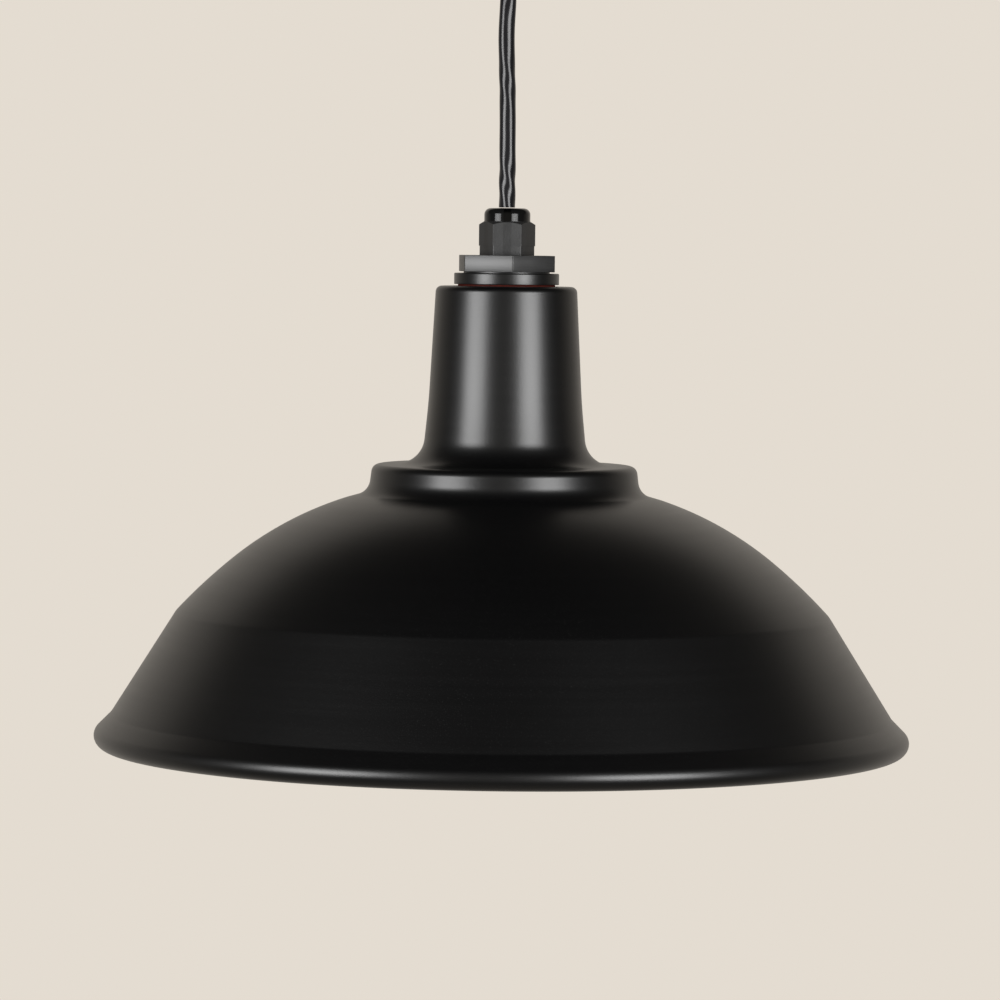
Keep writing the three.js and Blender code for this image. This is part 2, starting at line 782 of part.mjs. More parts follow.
const capTop = nippleNutFoot - SEAT;
const nippleFoot = capTop - NIPPLE_END;
const inside = (depth) => neckTop + depth;

add(
  "neck_washer",
  ring(
    spigotBore,
    spigotBore + NECK_WASHER_WIDTH,
    inside(neckInside - WASHER_H),
    inside(neckInside),
  ),
  steel,
);
add(
  "neck_locknut",
  polygonPrism(6, locknutAF, inside(locknutTop - LOCKNUT_H), LOCKNUT_H, spigotBore),
  steel,
);
add(
  "threaded_nipple",
  ring(nippleBore, nippleR, inside(nippleFoot), inside(nippleTop), 24),
  steel,
);
add(
  "nipple_nut",
  polygonPrism(6, nippleNutAF, inside(nippleNutFoot), NIPPLE_NUT_H, nippleR + FIT),
  steel,
);

function earthTag() {
  const eye = ring(nippleR + FIT, tagEyeR, inside(tagTop - TAG_H), inside(tagTop), 24);
  const bladeX = tagEyeR + TAG_BLADE_LENGTH / 2 - 1;
  const z = inside(tagTop - TAG_H / 2);
  const blade = block(TAG_BLADE_LENGTH, TAG_BLADE_WIDTH, TAG_H, bladeX, 0, z);
  return joined(eye, blade);
}

add("earth_tag", earthTag(), brass);

// ---- Lampholder ----
const COLLAR_WALL = 2.3;
const COLLAR_H = 7;
const CROWN_FALL = 2; // from the collar's foot to the cap's side
const CROWN_ROUND = 5;
const SKIRT_CHAMFER = 1;
const INSERT_ABOVE = 8; // the insert stands in both halves of the holder
const INSERT_BELOW = 4;
const INSERT_BEVEL = 3;
const CONTACT_SINK = 1.2; // depth of the contact's seat in the insert
const capFoot = capTop - HOLDER_CAP_H;
const skirtTop = capFoot - SEAT;
const skirtFoot = skirtTop - HOLDER_SKIRT_H;
const holderInnerR = HOLDER_R - HOLDER_WALL;
const insertTop = capFoot + INSERT_ABOVE;
const insertR = holderInnerR - FIT;
const insertFloor = skirtTop - INSERT_BELOW;
const shellFoot = insertFloor - SCREW_SHELL_H;

function holderCap() {
  const boreR = nippleR + FIT;
  const collarR = boreR + COLLAR_WALL;
  const collarFoot = capTop - COLLAR_H;
  const crownFoot = collarFoot - CROWN_FALL;
  return turned([
    [boreR, inside(capTop)],
    [collarR, inside(capTop)],
    ...rounded([
      [collarR, inside(collarFoot)],
      [HOLDER_R, inside(crownFoot), CROWN_ROUND],
      [HOLDER_R, inside(capFoot)],
    ], 3),
    [holderInnerR, inside(capFoot)],
    [holderInnerR, inside(crownFoot - HOLDER_WALL - 1)],
    [boreR, inside(crownFoot - HOLDER_WALL)],
  ], 24);
}

function holderSkirt() {
  const lipR = SCREW_SHELL_R + SCREW_SHELL_WALL + FIT;
  const lipTop = shellFoot - 1;
  return turned(
    [
      [HOLDER_R, inside(skirtTop)],
      [HOLDER_R, inside(skirtFoot + SKIRT_CHAMFER)],
      [HOLDER_R - SKIRT_CHAMFER, inside(skirtFoot)],
      [lipR, inside(skirtFoot)],
      [lipR, inside(lipTop)],
      [holderInnerR, inside(lipTop)],
      [holderInnerR, inside(skirtTop)],
    ],
    24,
  );
}

add("lampholder_cap", holderCap(), blackNylon);
add("lampholder_skirt", holderSkirt(), blackNylon);

const HOLDER_SCREW_X = 11;
const HOLDER_SCREW_R = 1.6;
const HOLDER_SCREW_LENGTH = 3;
const HOLDER_SCREW_HEAD_R = 2.8;
const HOLDER_SCREW_HEAD_H = 1.6;
const SCREW_WELL_DEPTH = 5;
const WIRE_WELL_DEPTH = 4;
const WIRE_X = HOLDER_SCREW_X / 2;
const WIRE_Y = 4;
const CONTACT_LENGTH = 7.2;
const CONTACT_WIDTH = 4;
const CONTACT_THICK = 0.5;
const CONTACT_DROP = 2.4; // of the contact's tip below the insert
const CONTACT_TIP_LENGTH = 3.6;

function holderInsert() {
  const top = inside(insertTop);
  const body = turned([
    [0, inside(insertFloor)],
    [SCREW_SHELL_R + SCREW_SHELL_WALL + 1, inside(insertFloor)],
    [insertR, inside(insertFloor + 1)],
    [insertR, inside(insertTop - INSERT_BEVEL)],
    [insertR - INSERT_BEVEL, top],
    [0, top],
  ]);
  const wells = [-1, 1].map((side) =>
    disc(HOLDER_SCREW_R + FIT, top - SCREW_WELL_DEPTH, top + SCREW_WELL_DEPTH, 12)
      .translate(side * HOLDER_SCREW_X, 0, 0),
  );
  const wireHoles = [-1, 1].map((side) =>
    disc(CORE_D / 2 + FIT, top - WIRE_WELL_DEPTH, top + WIRE_WELL_DEPTH, 12)
      .translate(side * WIRE_X, WIRE_Y, 0),
  );
  const contactWell = block(
    CONTACT_LENGTH + 1.4,
    CONTACT_WIDTH + 1.6,
    2 * CONTACT_SINK,
    0,
    0,
    inside(insertFloor),
  );
  return cut(body, ...wells, ...wireHoles, contactWell);
}

add("lampholder_insert", holderInsert(), porcelain);
add(
  "lampholder_screw_shell",
  ring(
    SCREW_SHELL_R,
    SCREW_SHELL_R + SCREW_SHELL_WALL,
    inside(shellFoot),
    inside(insertFloor - SEAT),
  ),
  brass,
);
for (const [side, name] of [[-1, "live"], [1, "neutral"]]) {
  const geometry = screw(
    HOLDER_SCREW_R,
    HOLDER_SCREW_LENGTH,
    HOLDER_SCREW_HEAD_R,
    HOLDER_SCREW_HEAD_H,
  ).translate(side * HOLDER_SCREW_X, 0, inside(insertTop + SEAT + HOLDER_SCREW_HEAD_H));
  add("lampholder_screw_" + name, geometry, brass);
}

// The centre contact is a bent brass strip that presses on the lamp's tip.
const contactTip = insertFloor - CONTACT_DROP;
function centreContact() {
  const foot = inside(insertFloor + FIT);
  const tip = inside(contactTip);
  const end = CONTACT_LENGTH / 2;
  const bend = CONTACT_TIP_LENGTH / 2;
  const strip = new THREE.Shape(
    [
      [-end, foot],
      [-bend, tip],
      [bend, tip],
      [end, foot],
      [end, foot + CONTACT_THICK],
      [bend - 0.2, tip + CONTACT_THICK],
      [-bend + 0.2, tip + CONTACT_THICK],
      [-end, foot + CONTACT_THICK],
    ].map(([x, z]) => new THREE.Vector2(x, z)),
  );
  const geometry = new THREE.ExtrudeGeometry(strip, { depth: CONTACT_WIDTH, bevelEnabled: false });
  return geometry.translate(0, 0, -CONTACT_WIDTH / 2).rotateX(Math.PI / 2);
}

add("lampholder_centre_contact", centreContact(), brass);

// ---- Flex inside the lamp, and its three cores ----
const HEAD_TAIL_SHOW = 1; // sheath below the nipple
const headTailFoot = inside(nippleFoot) - HEAD_TAIL_SHOW;
add(
  "cord_tail_head",
  disc(CORD_D / 2, headTailFoot, cordFoot - CORD_FIT, 10),
  blackFlex,
);
const coreEnds = {
  live: [-WIRE_X, WIRE_Y],
  neutral: [WIRE_X, WIRE_Y],
};
for (const [name, [x, y]] of Object.entries(coreEnds)) {
  const side = Math.sign(x);
  const route = [
    [side * 1.6, 0.4, headTailFoot - FIT],
    [side * 2, 0.8, headTailFoot - 2],
    [x, y, inside(insertTop) + 2.4],
    [x, y, inside(insertTop) - WIRE_WELL_DEPTH + 1],
  ];
  add("head_core_" + name, bar(route, CORE_D, 6, 10), coreColours[name]);
}

// ---- Lamp: contact, insulator, screw cap, housing, LED board, driver board, diffuser ----
const TIP_R = 4.6;
const TIP_TOP_R = 3;
const TIP_H = 1.6;
const TIP_FOOT_H = 1;
const INSULATOR_R = 9.2;
const INSULATOR_H = 3.4;
const INSULATOR_SLOPE_H = 2.6;
const CAP_WALL = 0.4;
const CAP_RIM_R = 10.4;
const CAP_RIM_RISE = 1.6; // above the insulator's foot
const CAP_SLOPE_H = 2.4;
const PLUG_H = 8; // of the housing, up inside the cap
const HOUSING_NECK_H = 12;
const HOUSING_ROUND = 30;
const JOIN_STEP = 0.6; // the housing is this much slimmer than the diffuser
const JOIN_RISE = 4; // of the join above the diffuser's middle
const LED_BOARD_H = 1.6;
const LED_BOARD_GAP = 3.4;
const LED_BOARD_RISE = 1.4;
const DRIVER_WIDTH = 16;
const DRIVER_THICK = 1.6;
const DRIVER_H = 30;
const lampTip = contactTip - SEAT;
const lampCapTop = lampTip - TIP_H;
const tipFoot = lampCapTop - TIP_FOOT_H;
const insulatorFoot = lampCapTop - INSULATOR_H;
const lampCapFoot = lampCapTop - LAMP_CAP_H;
const lampFoot = lampTip - LAMP_LENGTH;
const bulgeMiddle = lampFoot + LAMP_R;

add(
  "lamp_contact",
  turned([
    [0, inside(lampTip)],
    [TIP_TOP_R, inside(lampTip)],
    [TIP_R, inside(lampCapTop)],
    [TIP_R, inside(tipFoot)],
    [0, inside(tipFoot)],
  ], 20),
  nickel,
);
add(
  "lamp_insulator",
  turned([
    [TIP_R + FIT, inside(lampCapTop + 0.2)],
    [INSULATOR_R, inside(lampCapTop - INSULATOR_SLOPE_H)],
    [INSULATOR_R, inside(insulatorFoot)],
    [0, inside(insulatorFoot)],
    [0, inside(tipFoot - SEAT)],
    [TIP_R + FIT, inside(tipFoot - SEAT)],
  ], 24),
  blackNylon,
);

function lampCap() {
  const rim = inside(insulatorFoot + CAP_RIM_RISE);
  return turned([
    [INSULATOR_R + FIT, rim],
    [CAP_RIM_R, rim],
    [LAMP_CAP_R, rim - CAP_SLOPE_H],
    [LAMP_CAP_R, inside(lampCapFoot)],
    [LAMP_CAP_R - CAP_WALL, inside(lampCapFoot)],
    [LAMP_CAP_R - CAP_WALL, rim - CAP_SLOPE_H - CAP_WALL],
    [CAP_RIM_R - CAP_WALL / 2, rim - CAP_WALL],
    [INSULATOR_R + FIT, rim - CAP_WALL],
  ], 24);
}

add("lamp_cap", lampCap(), nickel);

const joinR = LAMP_R - JOIN_STEP;
const joinDepth = bulgeMiddle + JOIN_RISE;
const plugR = LAMP_CAP_R - CAP_WALL - FIT;

function lampHousing() {
  const outer = rounded(
    [
      [plugR, inside(lampCapFoot + PLUG_H)],
      [plugR, inside(lampCapFoot)],
      [LAMP_CAP_R + 0.6, inside(lampCapFoot - SEAT)],
      [LAMP_CAP_R + 1.4, inside(lampCapFoot - HOUSING_NECK_H), HOUSING_ROUND],
      [joinR, inside(joinDepth)],
    ],
    2,
  );
  const back = moved(outer, -LAMP_WALL);
  return turned([...outer, ...back.reverse()], 24);
}

function lampDiffuser() {
  const outer = arc(0, inside(bulgeMiddle), LAMP_R, 4, -90, 6);
  const innerArc = arc(0, inside(bulgeMiddle), LAMP_R - LAMP_WALL, -90, 4, 4);
  outer[outer.length - 1].x = 0;
  innerArc[0].x = 0;
  return turned([...outer, ...innerArc], 24);
}

add("lamp_housing", lampHousing(), whitePlastic);
add("lamp_diffuser", lampDiffuser(), opal);
const ledBoardFoot = joinDepth + LED_BOARD_RISE;
const ledBoardTop = ledBoardFoot + LED_BOARD_H;
add(
  "lamp_led_board",
  disc(joinR - LAMP_WALL - LED_BOARD_GAP, inside(ledBoardFoot), inside(ledBoardTop), 28),
  aluminium,
);
add(
  "lamp_driver_board",
  block(DRIVER_WIDTH, DRIVER_THICK, DRIVER_H, 0, 0, inside(ledBoardTop + SEAT + DRIVER_H / 2)),
  boardGreen,
);

export default lamp;
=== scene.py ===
# Pendant ceiling light: a spun black shade under a cable gland, hanging by its flex from a rose.
# Outlines are pairs of radius and height in millimetres.
import math

import bmesh
import bpy
from mathutils import Matrix, Vector


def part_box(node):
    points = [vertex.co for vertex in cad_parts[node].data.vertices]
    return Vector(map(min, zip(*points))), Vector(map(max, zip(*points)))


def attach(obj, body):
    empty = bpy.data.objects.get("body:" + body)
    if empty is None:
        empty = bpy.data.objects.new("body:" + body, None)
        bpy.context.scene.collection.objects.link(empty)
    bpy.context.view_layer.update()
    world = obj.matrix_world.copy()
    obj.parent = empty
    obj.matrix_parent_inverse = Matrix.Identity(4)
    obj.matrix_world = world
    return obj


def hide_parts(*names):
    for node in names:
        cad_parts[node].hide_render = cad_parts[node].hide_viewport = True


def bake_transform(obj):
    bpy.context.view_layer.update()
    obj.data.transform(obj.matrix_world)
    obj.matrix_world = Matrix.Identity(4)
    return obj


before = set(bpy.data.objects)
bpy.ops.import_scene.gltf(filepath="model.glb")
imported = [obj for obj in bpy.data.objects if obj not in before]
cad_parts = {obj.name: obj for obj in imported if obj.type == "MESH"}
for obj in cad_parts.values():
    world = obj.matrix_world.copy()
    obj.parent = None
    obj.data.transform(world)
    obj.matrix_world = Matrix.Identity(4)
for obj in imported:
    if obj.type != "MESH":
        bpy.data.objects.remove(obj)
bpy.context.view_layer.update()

# ---- Camera ----
# A long lens a little over two metres in front of the lamp and level with its gland, looking
# slightly down. The lamp hangs a fraction of a degree out of true with the picture.
CAMERA_DISTANCE = 2.213
CAMERA_HEIGHT = -0.1671
CAMERA_SIDE = -0.00178
CAMERA_PITCH = math.radians(2.99)
CAMERA_ROLL = math.radians(0.66)
LENS = 181.7

camera_data = bpy.data.cameras.new("camera")
camera_data.sensor_width = 36
camera_data.lens = LENS
camera_data.clip_start = 0.05
camera_data.clip_end = 100
camera = bpy.data.objects.new("camera", camera_data)
camera.matrix_world = (
    Matrix.Translation((CAMERA_SIDE, -CAMERA_DISTANCE, CAMERA_HEIGHT))
    @ Matrix.Rotation(math.pi / 2 - CAMERA_PITCH, 4, "X")
    @ Matrix.Rotation(CAMERA_ROLL, 4, "Z")
)
bpy.context.scene.collection.objects.link(camera)
bpy.context.scene.camera = camera

# ---- Flex ----
# Round black flex with three twisted cores, which show through the glossy sheath as a slow
# wave. It hangs straight from the strain relief sleeve to the gland.
MM = 0.001
CORD_D = 7.1
CORD_LAY = 74  # one turn of the twisted cores
CORD_LAY_DRIFT = 0.7  # radians by which the twist runs ahead and falls back
CORD_LOBE = 0.27  # how far the sheath falls in between two cores
CORD_LEAN = -0.2  # to the left all the way
CORD_SAG = 1.1  # and further at its widest
CORD_SAG_RISE = 2.6  # above 1, the sag is nearer the top
CORD_STEP = 1.2
CORD_SIDES = 54


class Signal:
    """What comes out of a shader node. Arithmetic on it adds Math nodes."""

    def __init__(self, shading, socket):
        self.shading = shading
        self.socket = socket

    def math(self, operation, *values):
        sockets = dict(enumerate(values))
        return self.shading.node("ShaderNodeMath", {"operation": operation}, sockets)

    def __add__(self, other):
        return self.math("ADD", self, other)

    def __sub__(self, other):
        return self.math("SUBTRACT", self, other)

    def __rsub__(self, other):
        return self.math("SUBTRACT", other, self)

    def __mul__(self, other):
        return self.math("MULTIPLY", self, other)

    __radd__ = __add__
    __rmul__ = __mul__


class Shading:
    """The node tree of a material, or of the world."""

    def __init__(self, owner):
        owner.use_nodes = True
        self.owner = owner
        self.tree = owner.node_tree
        self.tree.nodes.clear()

    def node(self, kind, settings, sockets, output=0):
        made = self.tree.nodes.new(kind)
        for key, value in settings.items():
            if key == "stops":
                ramp = made.color_ramp.elements
                while len(ramp) < len(value):
                    ramp.new(1)
                for element, (position, grey) in zip(ramp, value):
                    element.position = position
                    element.color = (grey, grey, grey, 1)
            else:
                setattr(made, key, value)
        for key, value in sockets.items():
            if isinstance(value, Signal):
                self.tree.links.new(value.socket, made.inputs[key])
            else:
                made.inputs[key].default_value = value
        return Signal(self, made.outputs[output]) if made.outputs else None

    def spot(self, stretch=(1, 1, 1)):
        """Object coordinates, drawn together along the axes by a factor each."""
        place = self.node("ShaderNodeTexCoord", {}, {}, "Object")
        return self.node("ShaderNodeMapping", {}, {"Vector": place, "Scale": stretch})

    def height(self):
        """The Z of the object coordinates, in metres."""
        return self.node("ShaderNodeSeparateXYZ", {}, {"Vector": self.spot()}, "Z")

    def noise(self, spot, scale, detail=2.0):
        sockets = {"Vector": spot, "Scale": scale, "Detail": detail}
        return self.node("ShaderNodeTexNoise", {}, sockets)

    def ramp(self, signal, *stops):
        """Grey levels at places along the signal, from 0 to 1."""
        return self.node("ShaderNodeValToRGB", {"stops": stops}, {"Fac": signal})

    def mix(self, share, *ends):
        """A colour between two colours or signals."""
        first, second = (end if isinstance(end, Signal) else (*end, 1) for end in ends)
        sockets = {0: share, 6: first, 7: second}
        return self.node("ShaderNodeMix", {"data_type": "RGBA"}, sockets, 2)

    def bump(self, height, depth):
        return self.node("ShaderNodeBump", {}, {"Height": height, "Distance": depth * MM})

    def surface(self, sockets):
        skin = self.node("ShaderNodeBsdfPrincipled", {}, sockets)
        self.node("ShaderNodeOutputMaterial", {}, {"Surface": skin})
        return self.owner


def shading_named(name):
    return Shading(bpy.data.materials.new(name))


def flex_sheath():
    sheath = shading_named("glossy_flex_sheath")
    smear = sheath.noise(sheath.spot((1, 1, 0.2)), 300, 3)
    return sheath.surface(
        {
            "Base Color": sheath.mix(smear, (0.003, 0.003, 0.004), (0.007, 0.007, 0.008)),
            "Roughness": 0.15 + smear * 0.08,
            "Normal": sheath.bump(smear, 0.02),
        }
    )


def smoothed(bm, crease):
    """Smooth all over, but for the edges that turn by more than the crease angle."""
    for face in bm.faces:
        face.smooth = True
    for edge in bm.edges:
        edge.smooth = edge.calc_face_angle(0) < math.radians(crease)


def made(name, bm, material, crease=30):
    """A piece from a bmesh, with its faces pointing out."""
    bmesh.ops.remove_doubles(bm, verts=bm.verts, dist=1e-7)
    bmesh.ops.recalc_face_normals(bm, faces=bm.faces)
    smoothed(bm, crease)
    mesh = bpy.data.meshes.new(name)
    bm.to_mesh(mesh)
    bm.free()
    mesh.materials.append(material)
    piece = bpy.data.objects.new(name, mesh)
    bpy.context.scene.collection.objects.link(piece)
    return piece


def spun(outline, sides):
    """A bmesh of an outline turned once round Z. An outline that starts off the axis closes."""
    bm = bmesh.new()
    points = [bm.verts.new((radius * MM, 0, height * MM)) for radius, height in outline]
    ends = [] if outline[0][0] == 0 else [(points[-1], points[0])]
    edges = [bm.edges.new(pair) for pair in [*zip(points, points[1:]), *ends]]
    bmesh.ops.spin(
        bm,
        geom=points + edges,
        axis=(0, 0, 1),
        angle=2 * math.pi,
        steps=sides,
        use_merge=True,
    )
    return bm


def turned(name, outline, material, sides=96, crease=30):
    return made(name, spun(outline, sides), material, crease)


def span(node):
    """The foot and the top of a CAD node, in millimetres."""
    low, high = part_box(node)
    return low.z / MM, high.z / MM


def sag(height):
    """How far the flex strays to the left, in the memory of its coil, between its two ends."""
    share = (height - cord_foot) / (cord_top - cord_foot)
    return CORD_LEAN - CORD_SAG * math.sin(math.pi * share**CORD_SAG_RISE) ** 2


cord_foot, cord_top = span("cord")
steps = round((cord_top - cord_foot) / CORD_STEP)
heights = [cord_foot + (cord_top - cord_foot) * k / steps for k in range(steps + 1)]
bm = spun(
    [(0, cord_foot), *((CORD_D / 2, height) for height in heights), (0, cord_top)],
    CORD_SIDES,
)
for vert in bm.verts:
    down = (cord_top - vert.co.z / MM) / CORD_LAY
    twist = 2 * math.pi * down + CORD_LAY_DRIFT * math.sin(2 * math.pi * down * 1.7)
    lobe = CORD_LOBE * (0.75 + 0.25 * math.sin(2 * math.pi * down * 0.9 + 1))
    swell = lobe * math.cos(3 * math.atan2(vert.co.y, vert.co.x)) / 2
    vert.co.xy *= 1 + swell / (CORD_D / 2)
    vert.co.rotate(Matrix.Rotation(twist, 3, "Z"))
    vert.co.x += sag(vert.co.z / MM) * MM
sheath = flex_sheath()
flex = made("flex", bm, sheath, 60)
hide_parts("cord")
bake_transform(flex)

# ---- Ceiling rose: cover ----
# A shallow spun steel cup in the same black powder coat as the shade. It slides up over the
# strap, and two side screws hold it there.
ROSE_WALL = 1.2
ROSE_ROUND = 4
ROSE_STEP_R = 34  # a pressed step stiffens the bottom
ROSE_STEP_H = 0.8
ROSE_STEP_ROUND = 1.5
ROSE_RIM = 0.3
GRIP_COLLAR = 2  # how far the cord grip's collar stands out from its thread
FIT = 0.3  # between pieces that slide or screw together
SEAT = 0.05  # between faces that touch


def rounded(corners, steps=6):
    """The points of an outline. A corner with a third number becomes an arc of that radius."""
    points = []
    for k, corner in enumerate(corners):
        middle = Vector(corner[:2])
        if len(corner) == 2:
            points.append(tuple(middle))
            continue
        before = Vector(corners[k - 1][:2]) - middle
        after = Vector(corners[k + 1][:2]) - middle
        half = before.angle(after) / 2
        reach = min(corner[2] / math.tan(half), 0.49 * before.length, 0.49 * after.length)
        start, stop = before.normalized() * reach, after.normalized() * reach
        centre = (start + stop).normalized() * reach / math.cos(half)
        sweep = math.pi - 2 * half
        for step in range(steps + 1):
            share = step / steps
            spoke = (start - centre) * math.sin((1 - share) * sweep)
            spoke += (stop - centre) * math.sin(share * sweep)
            points.append(tuple(middle + centre + spoke / math.sin(sweep)))
    return points


def powder_coat(name, cloud_scale, spun_lines, lined=False):
    """Satin black powder coat: orange peel, dust, and the faint rings of the spinning below.
    A lined piece is off-white where its mesh's own attribute says that it faces inside."""
    coat = shading_named(name)
    peel = coat.noise(coat.spot(), 850, 3)
    grain = coat.noise(coat.spot(), 2300)
    cloud = coat.noise(coat.spot(), cloud_scale, 4)
    dust = coat.ramp(coat.noise(coat.spot(), 1900, 1), (0.66, 0), (0.74, 1))
    rings = coat.noise(coat.spot((0.02, 0.02, 1)), 420, 3)
    colour = coat.mix(dust, (0.0006, 0.0006, 0.0007), (0.005, 0.005, 0.005))
    matt = 0.28 + cloud * 0.04 + rings * 0.04
    if lined:
        inside = coat.node("ShaderNodeAttribute", {"attribute_name": "inside"}, {}, "Fac")
        lining = coat.mix(cloud, (0.74, 0.73, 0.70), (0.80, 0.79, 0.76))
        colour = coat.mix(inside, colour, lining)
        matt = matt + inside * 0.2
    relief = grain * 0.8 + peel * 0.35 + rings * spun_lines
    sockets = {"Base Color": colour, "Roughness": matt, "Normal": coat.bump(relief, 0.03)}
    return coat.surface(sockets)


rose_foot, rose_top = span("rose_cover")
rose_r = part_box("rose_cover")[1].x / MM
grip_thread_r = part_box("rose_cord_grip")[1].x / MM - GRIP_COLLAR
rose_bore = grip_thread_r + FIT
coat = powder_coat("black_powder_coat", 22, 0.4)
step_z = rose_foot + ROSE_STEP_H
cover_outline = rounded(
    [
        (rose_bore, step_z),
        (ROSE_STEP_R - ROSE_STEP_ROUND, step_z, ROSE_STEP_ROUND),
        (ROSE_STEP_R, rose_foot, ROSE_STEP_ROUND),
        (rose_r, rose_foot, ROSE_ROUND),
        (rose_r, rose_top - ROSE_RIM, ROSE_RIM),
        (rose_r - ROSE_WALL / 2, rose_top, ROSE_RIM),
        (rose_r - ROSE_WALL, rose_top - ROSE_RIM, ROSE_RIM),
        (rose_r - ROSE_WALL, rose_foot + ROSE_WALL, ROSE_ROUND - ROSE_WALL),
        (ROSE_STEP_R, rose_foot + ROSE_WALL, ROSE_STEP_ROUND),
        (ROSE_STEP_R - ROSE_STEP_ROUND, step_z + ROSE_WALL, ROSE_STEP_ROUND),
        (rose_bore, step_z + ROSE_WALL),
    ]
)
cover = turned("rose_cover_shell", cover_outline, coat, 160)
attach(cover, "rose")
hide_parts("rose_cover")

# ---- Ceiling rose: strap, screws and nuts ----
# A pressed strap with two slots is screwed to the ceiling. Its screws, the grip's locknut and
# the clamping screw are bright zinc-plated steel, with fine rolling marks and dulled patches.
SIDE_SCREW_HEAD_R = 4
SIDE_SCREW_HEAD_H = 2.4
SIDE_SCREW_SHANK_R = 2
SIDE_SCREW_TIP = 0.4
SLOT_WIDTH = 1.1
SLOT_DEPTH = 0.95


def zinc_plate():
    plate = shading_named("bright_zinc_plate")
    patch = plate.noise(plate.spot(), 140, 4)
    brushed = plate.noise(plate.spot((0.05, 1, 1)), 1800)
    return plate.surface(
        {
            "Base Color": plate.mix(patch, (0.42, 0.42, 0.43), (0.60, 0.60, 0.61)),
            "Metallic": 1.0,
            "Roughness": 0.26 + patch * 0.14,
            "Normal": plate.bump(brushed, 0.008),
        }
    )


def given(material, *nodes):
    """CAD nodes that keep their own shape take a material."""
    for node in nodes:
        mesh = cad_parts[node].data
        mesh.materials.clear()
        mesh.materials.append(material)


def combined(piece, tool, operation, crease=30):
    """The piece joined with, cut by or kept within a tool piece, which is used up."""
    work = piece.modifiers.new("work", "BOOLEAN")
    work.operation = operation
    work.solver = "EXACT"
    work.object = tool
    shaped = piece.evaluated_get(bpy.context.evaluated_depsgraph_get())
    mesh = bpy.data.meshes.new_from_object(shaped)
    piece.modifiers.clear()
    bpy.data.objects.remove(tool)
    bm = bmesh.new()
    bm.from_mesh(mesh)
    bmesh.ops.dissolve_degenerate(bm, edges=bm.edges, dist=1e-7)
    smoothed(bm, crease)
    bm.to_mesh(mesh)
    bm.free()
    piece.data = mesh
    return piece


def slot_cutter(size, material):
    """A block round the origin, which cuts a screw's slot."""
    bm = bmesh.new()
    bmesh.ops.create_cube(bm, size=1)
    bmesh.ops.scale(bm, verts=bm.verts, vec=Vector(size) * MM)
    return made("slot", bm, material)


zinc = zinc_plate()
given(zinc, "rose_strap", "rose_grip_locknut", "rose_grip_clamp_screw")
for side, node in ((-1, "rose_cover_screw_left"), (1, "rose_cover_screw_right")):
    low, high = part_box(node)
    length = (high.x - low.x) / MM
    head = turned(
        node + "_slotted",
        rounded(
            [
                (0, 0),
                (SIDE_SCREW_HEAD_R * 0.62, 0, 2),
                (SIDE_SCREW_HEAD_R, -SIDE_SCREW_HEAD_H * 0.55, 1),
                (SIDE_SCREW_HEAD_R, -SIDE_SCREW_HEAD_H, 0.25),
                (SIDE_SCREW_SHANK_R, -SIDE_SCREW_HEAD_H),
                (SIDE_SCREW_SHANK_R, -length + SIDE_SCREW_TIP),
                (SIDE_SCREW_SHANK_R - SIDE_SCREW_TIP, -length),
                (0, -length),
            ]
        ),
        zinc,
        48,
    )
    slot = slot_cutter((3 * SIDE_SCREW_HEAD_R, SLOT_WIDTH, 2 * SLOT_DEPTH), zinc)
    combined(head, slot, "DIFFERENCE")
    outside = high.x if side > 0 else low.x
    head.data.transform(
        Matrix.Translation((outside, 0, (low.z + high.z) / 2))
        @ Matrix.Rotation(side * math.pi / 2, 4, "Y")
    )
    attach(head, "rose")
    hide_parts(node)

# ---- Ceiling rose: cord grip ----
# A moulded nylon grip screws up through the cover into its locknut. Its collar is ribbed for
# the fingers and carries the clamping screw that holds the flex.
GRIP_RIBS = 30
GRIP_RIB_DEPTH = 0.35
GRIP_ROUND = 1


def moulded_nylon(name, roughness, base, light):
    nylon = shading_named(name)
    grain = nylon.noise(nylon.spot(), 1500, 3)
    flow = nylon.noise(nylon.spot((1, 1, 0.3)), 160, 3)
    return nylon.surface(
        {
            "Base Color": nylon.mix(flow, (base,) * 3, (light,) * 3),
            "Roughness": roughness - 0.05 + flow * 0.1,
            "Normal": nylon.bump(grain, 0.03),
        }
    )


nylon = moulded_nylon("black_moulded_nylon", 0.46, 0.018, 0.028)
grip_foot, grip_top = span("rose_cord_grip")
grip_r = grip_thread_r + GRIP_COLLAR
bore = CORD_D / 2 + FIT
bm = spun(
    rounded(
        [
            (bore, grip_foot),
            (grip_r, grip_foot, GRIP_ROUND),
            (grip_r, grip_foot + 2),
            (grip_r, rose_foot - 1.5),
            (grip_r, rose_foot - SEAT, 0.5),
            (grip_thread_r, rose_foot - SEAT),
            (grip_thread_r, grip_top),
            (bore, grip_top),
        ]
    ),
    GRIP_RIBS * 6,
)
for vert in bm.verts:
    outward = vert.co.xy.length / MM
    if outward > grip_r - 0.1 and vert.co.z / MM > grip_foot + GRIP_ROUND:
        turn = math.atan2(vert.co.y, vert.co.x)
        wave = (1 + math.cos(GRIP_RIBS * turn)) / 2
        vert.co.xy *= 1 - GRIP_RIB_DEPTH * wave / grip_r
grip = made("ribbed_cord_grip", bm, nylon, 35)
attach(grip, "rose")
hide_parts("rose_cord_grip")

# ---- Ceiling rose: terminal block, brass screws and cores ----
# The mains is joined in a porcelain block with brass screws. The flex's sheath ends above the
# grip, and its brown, blue and green-and-yellow cores go on to the block.
CORE_D = 2.2
CORE_SPREAD = 2.5
TERMINAL_PITCH = 9
BLOCK_DEPTH = 13


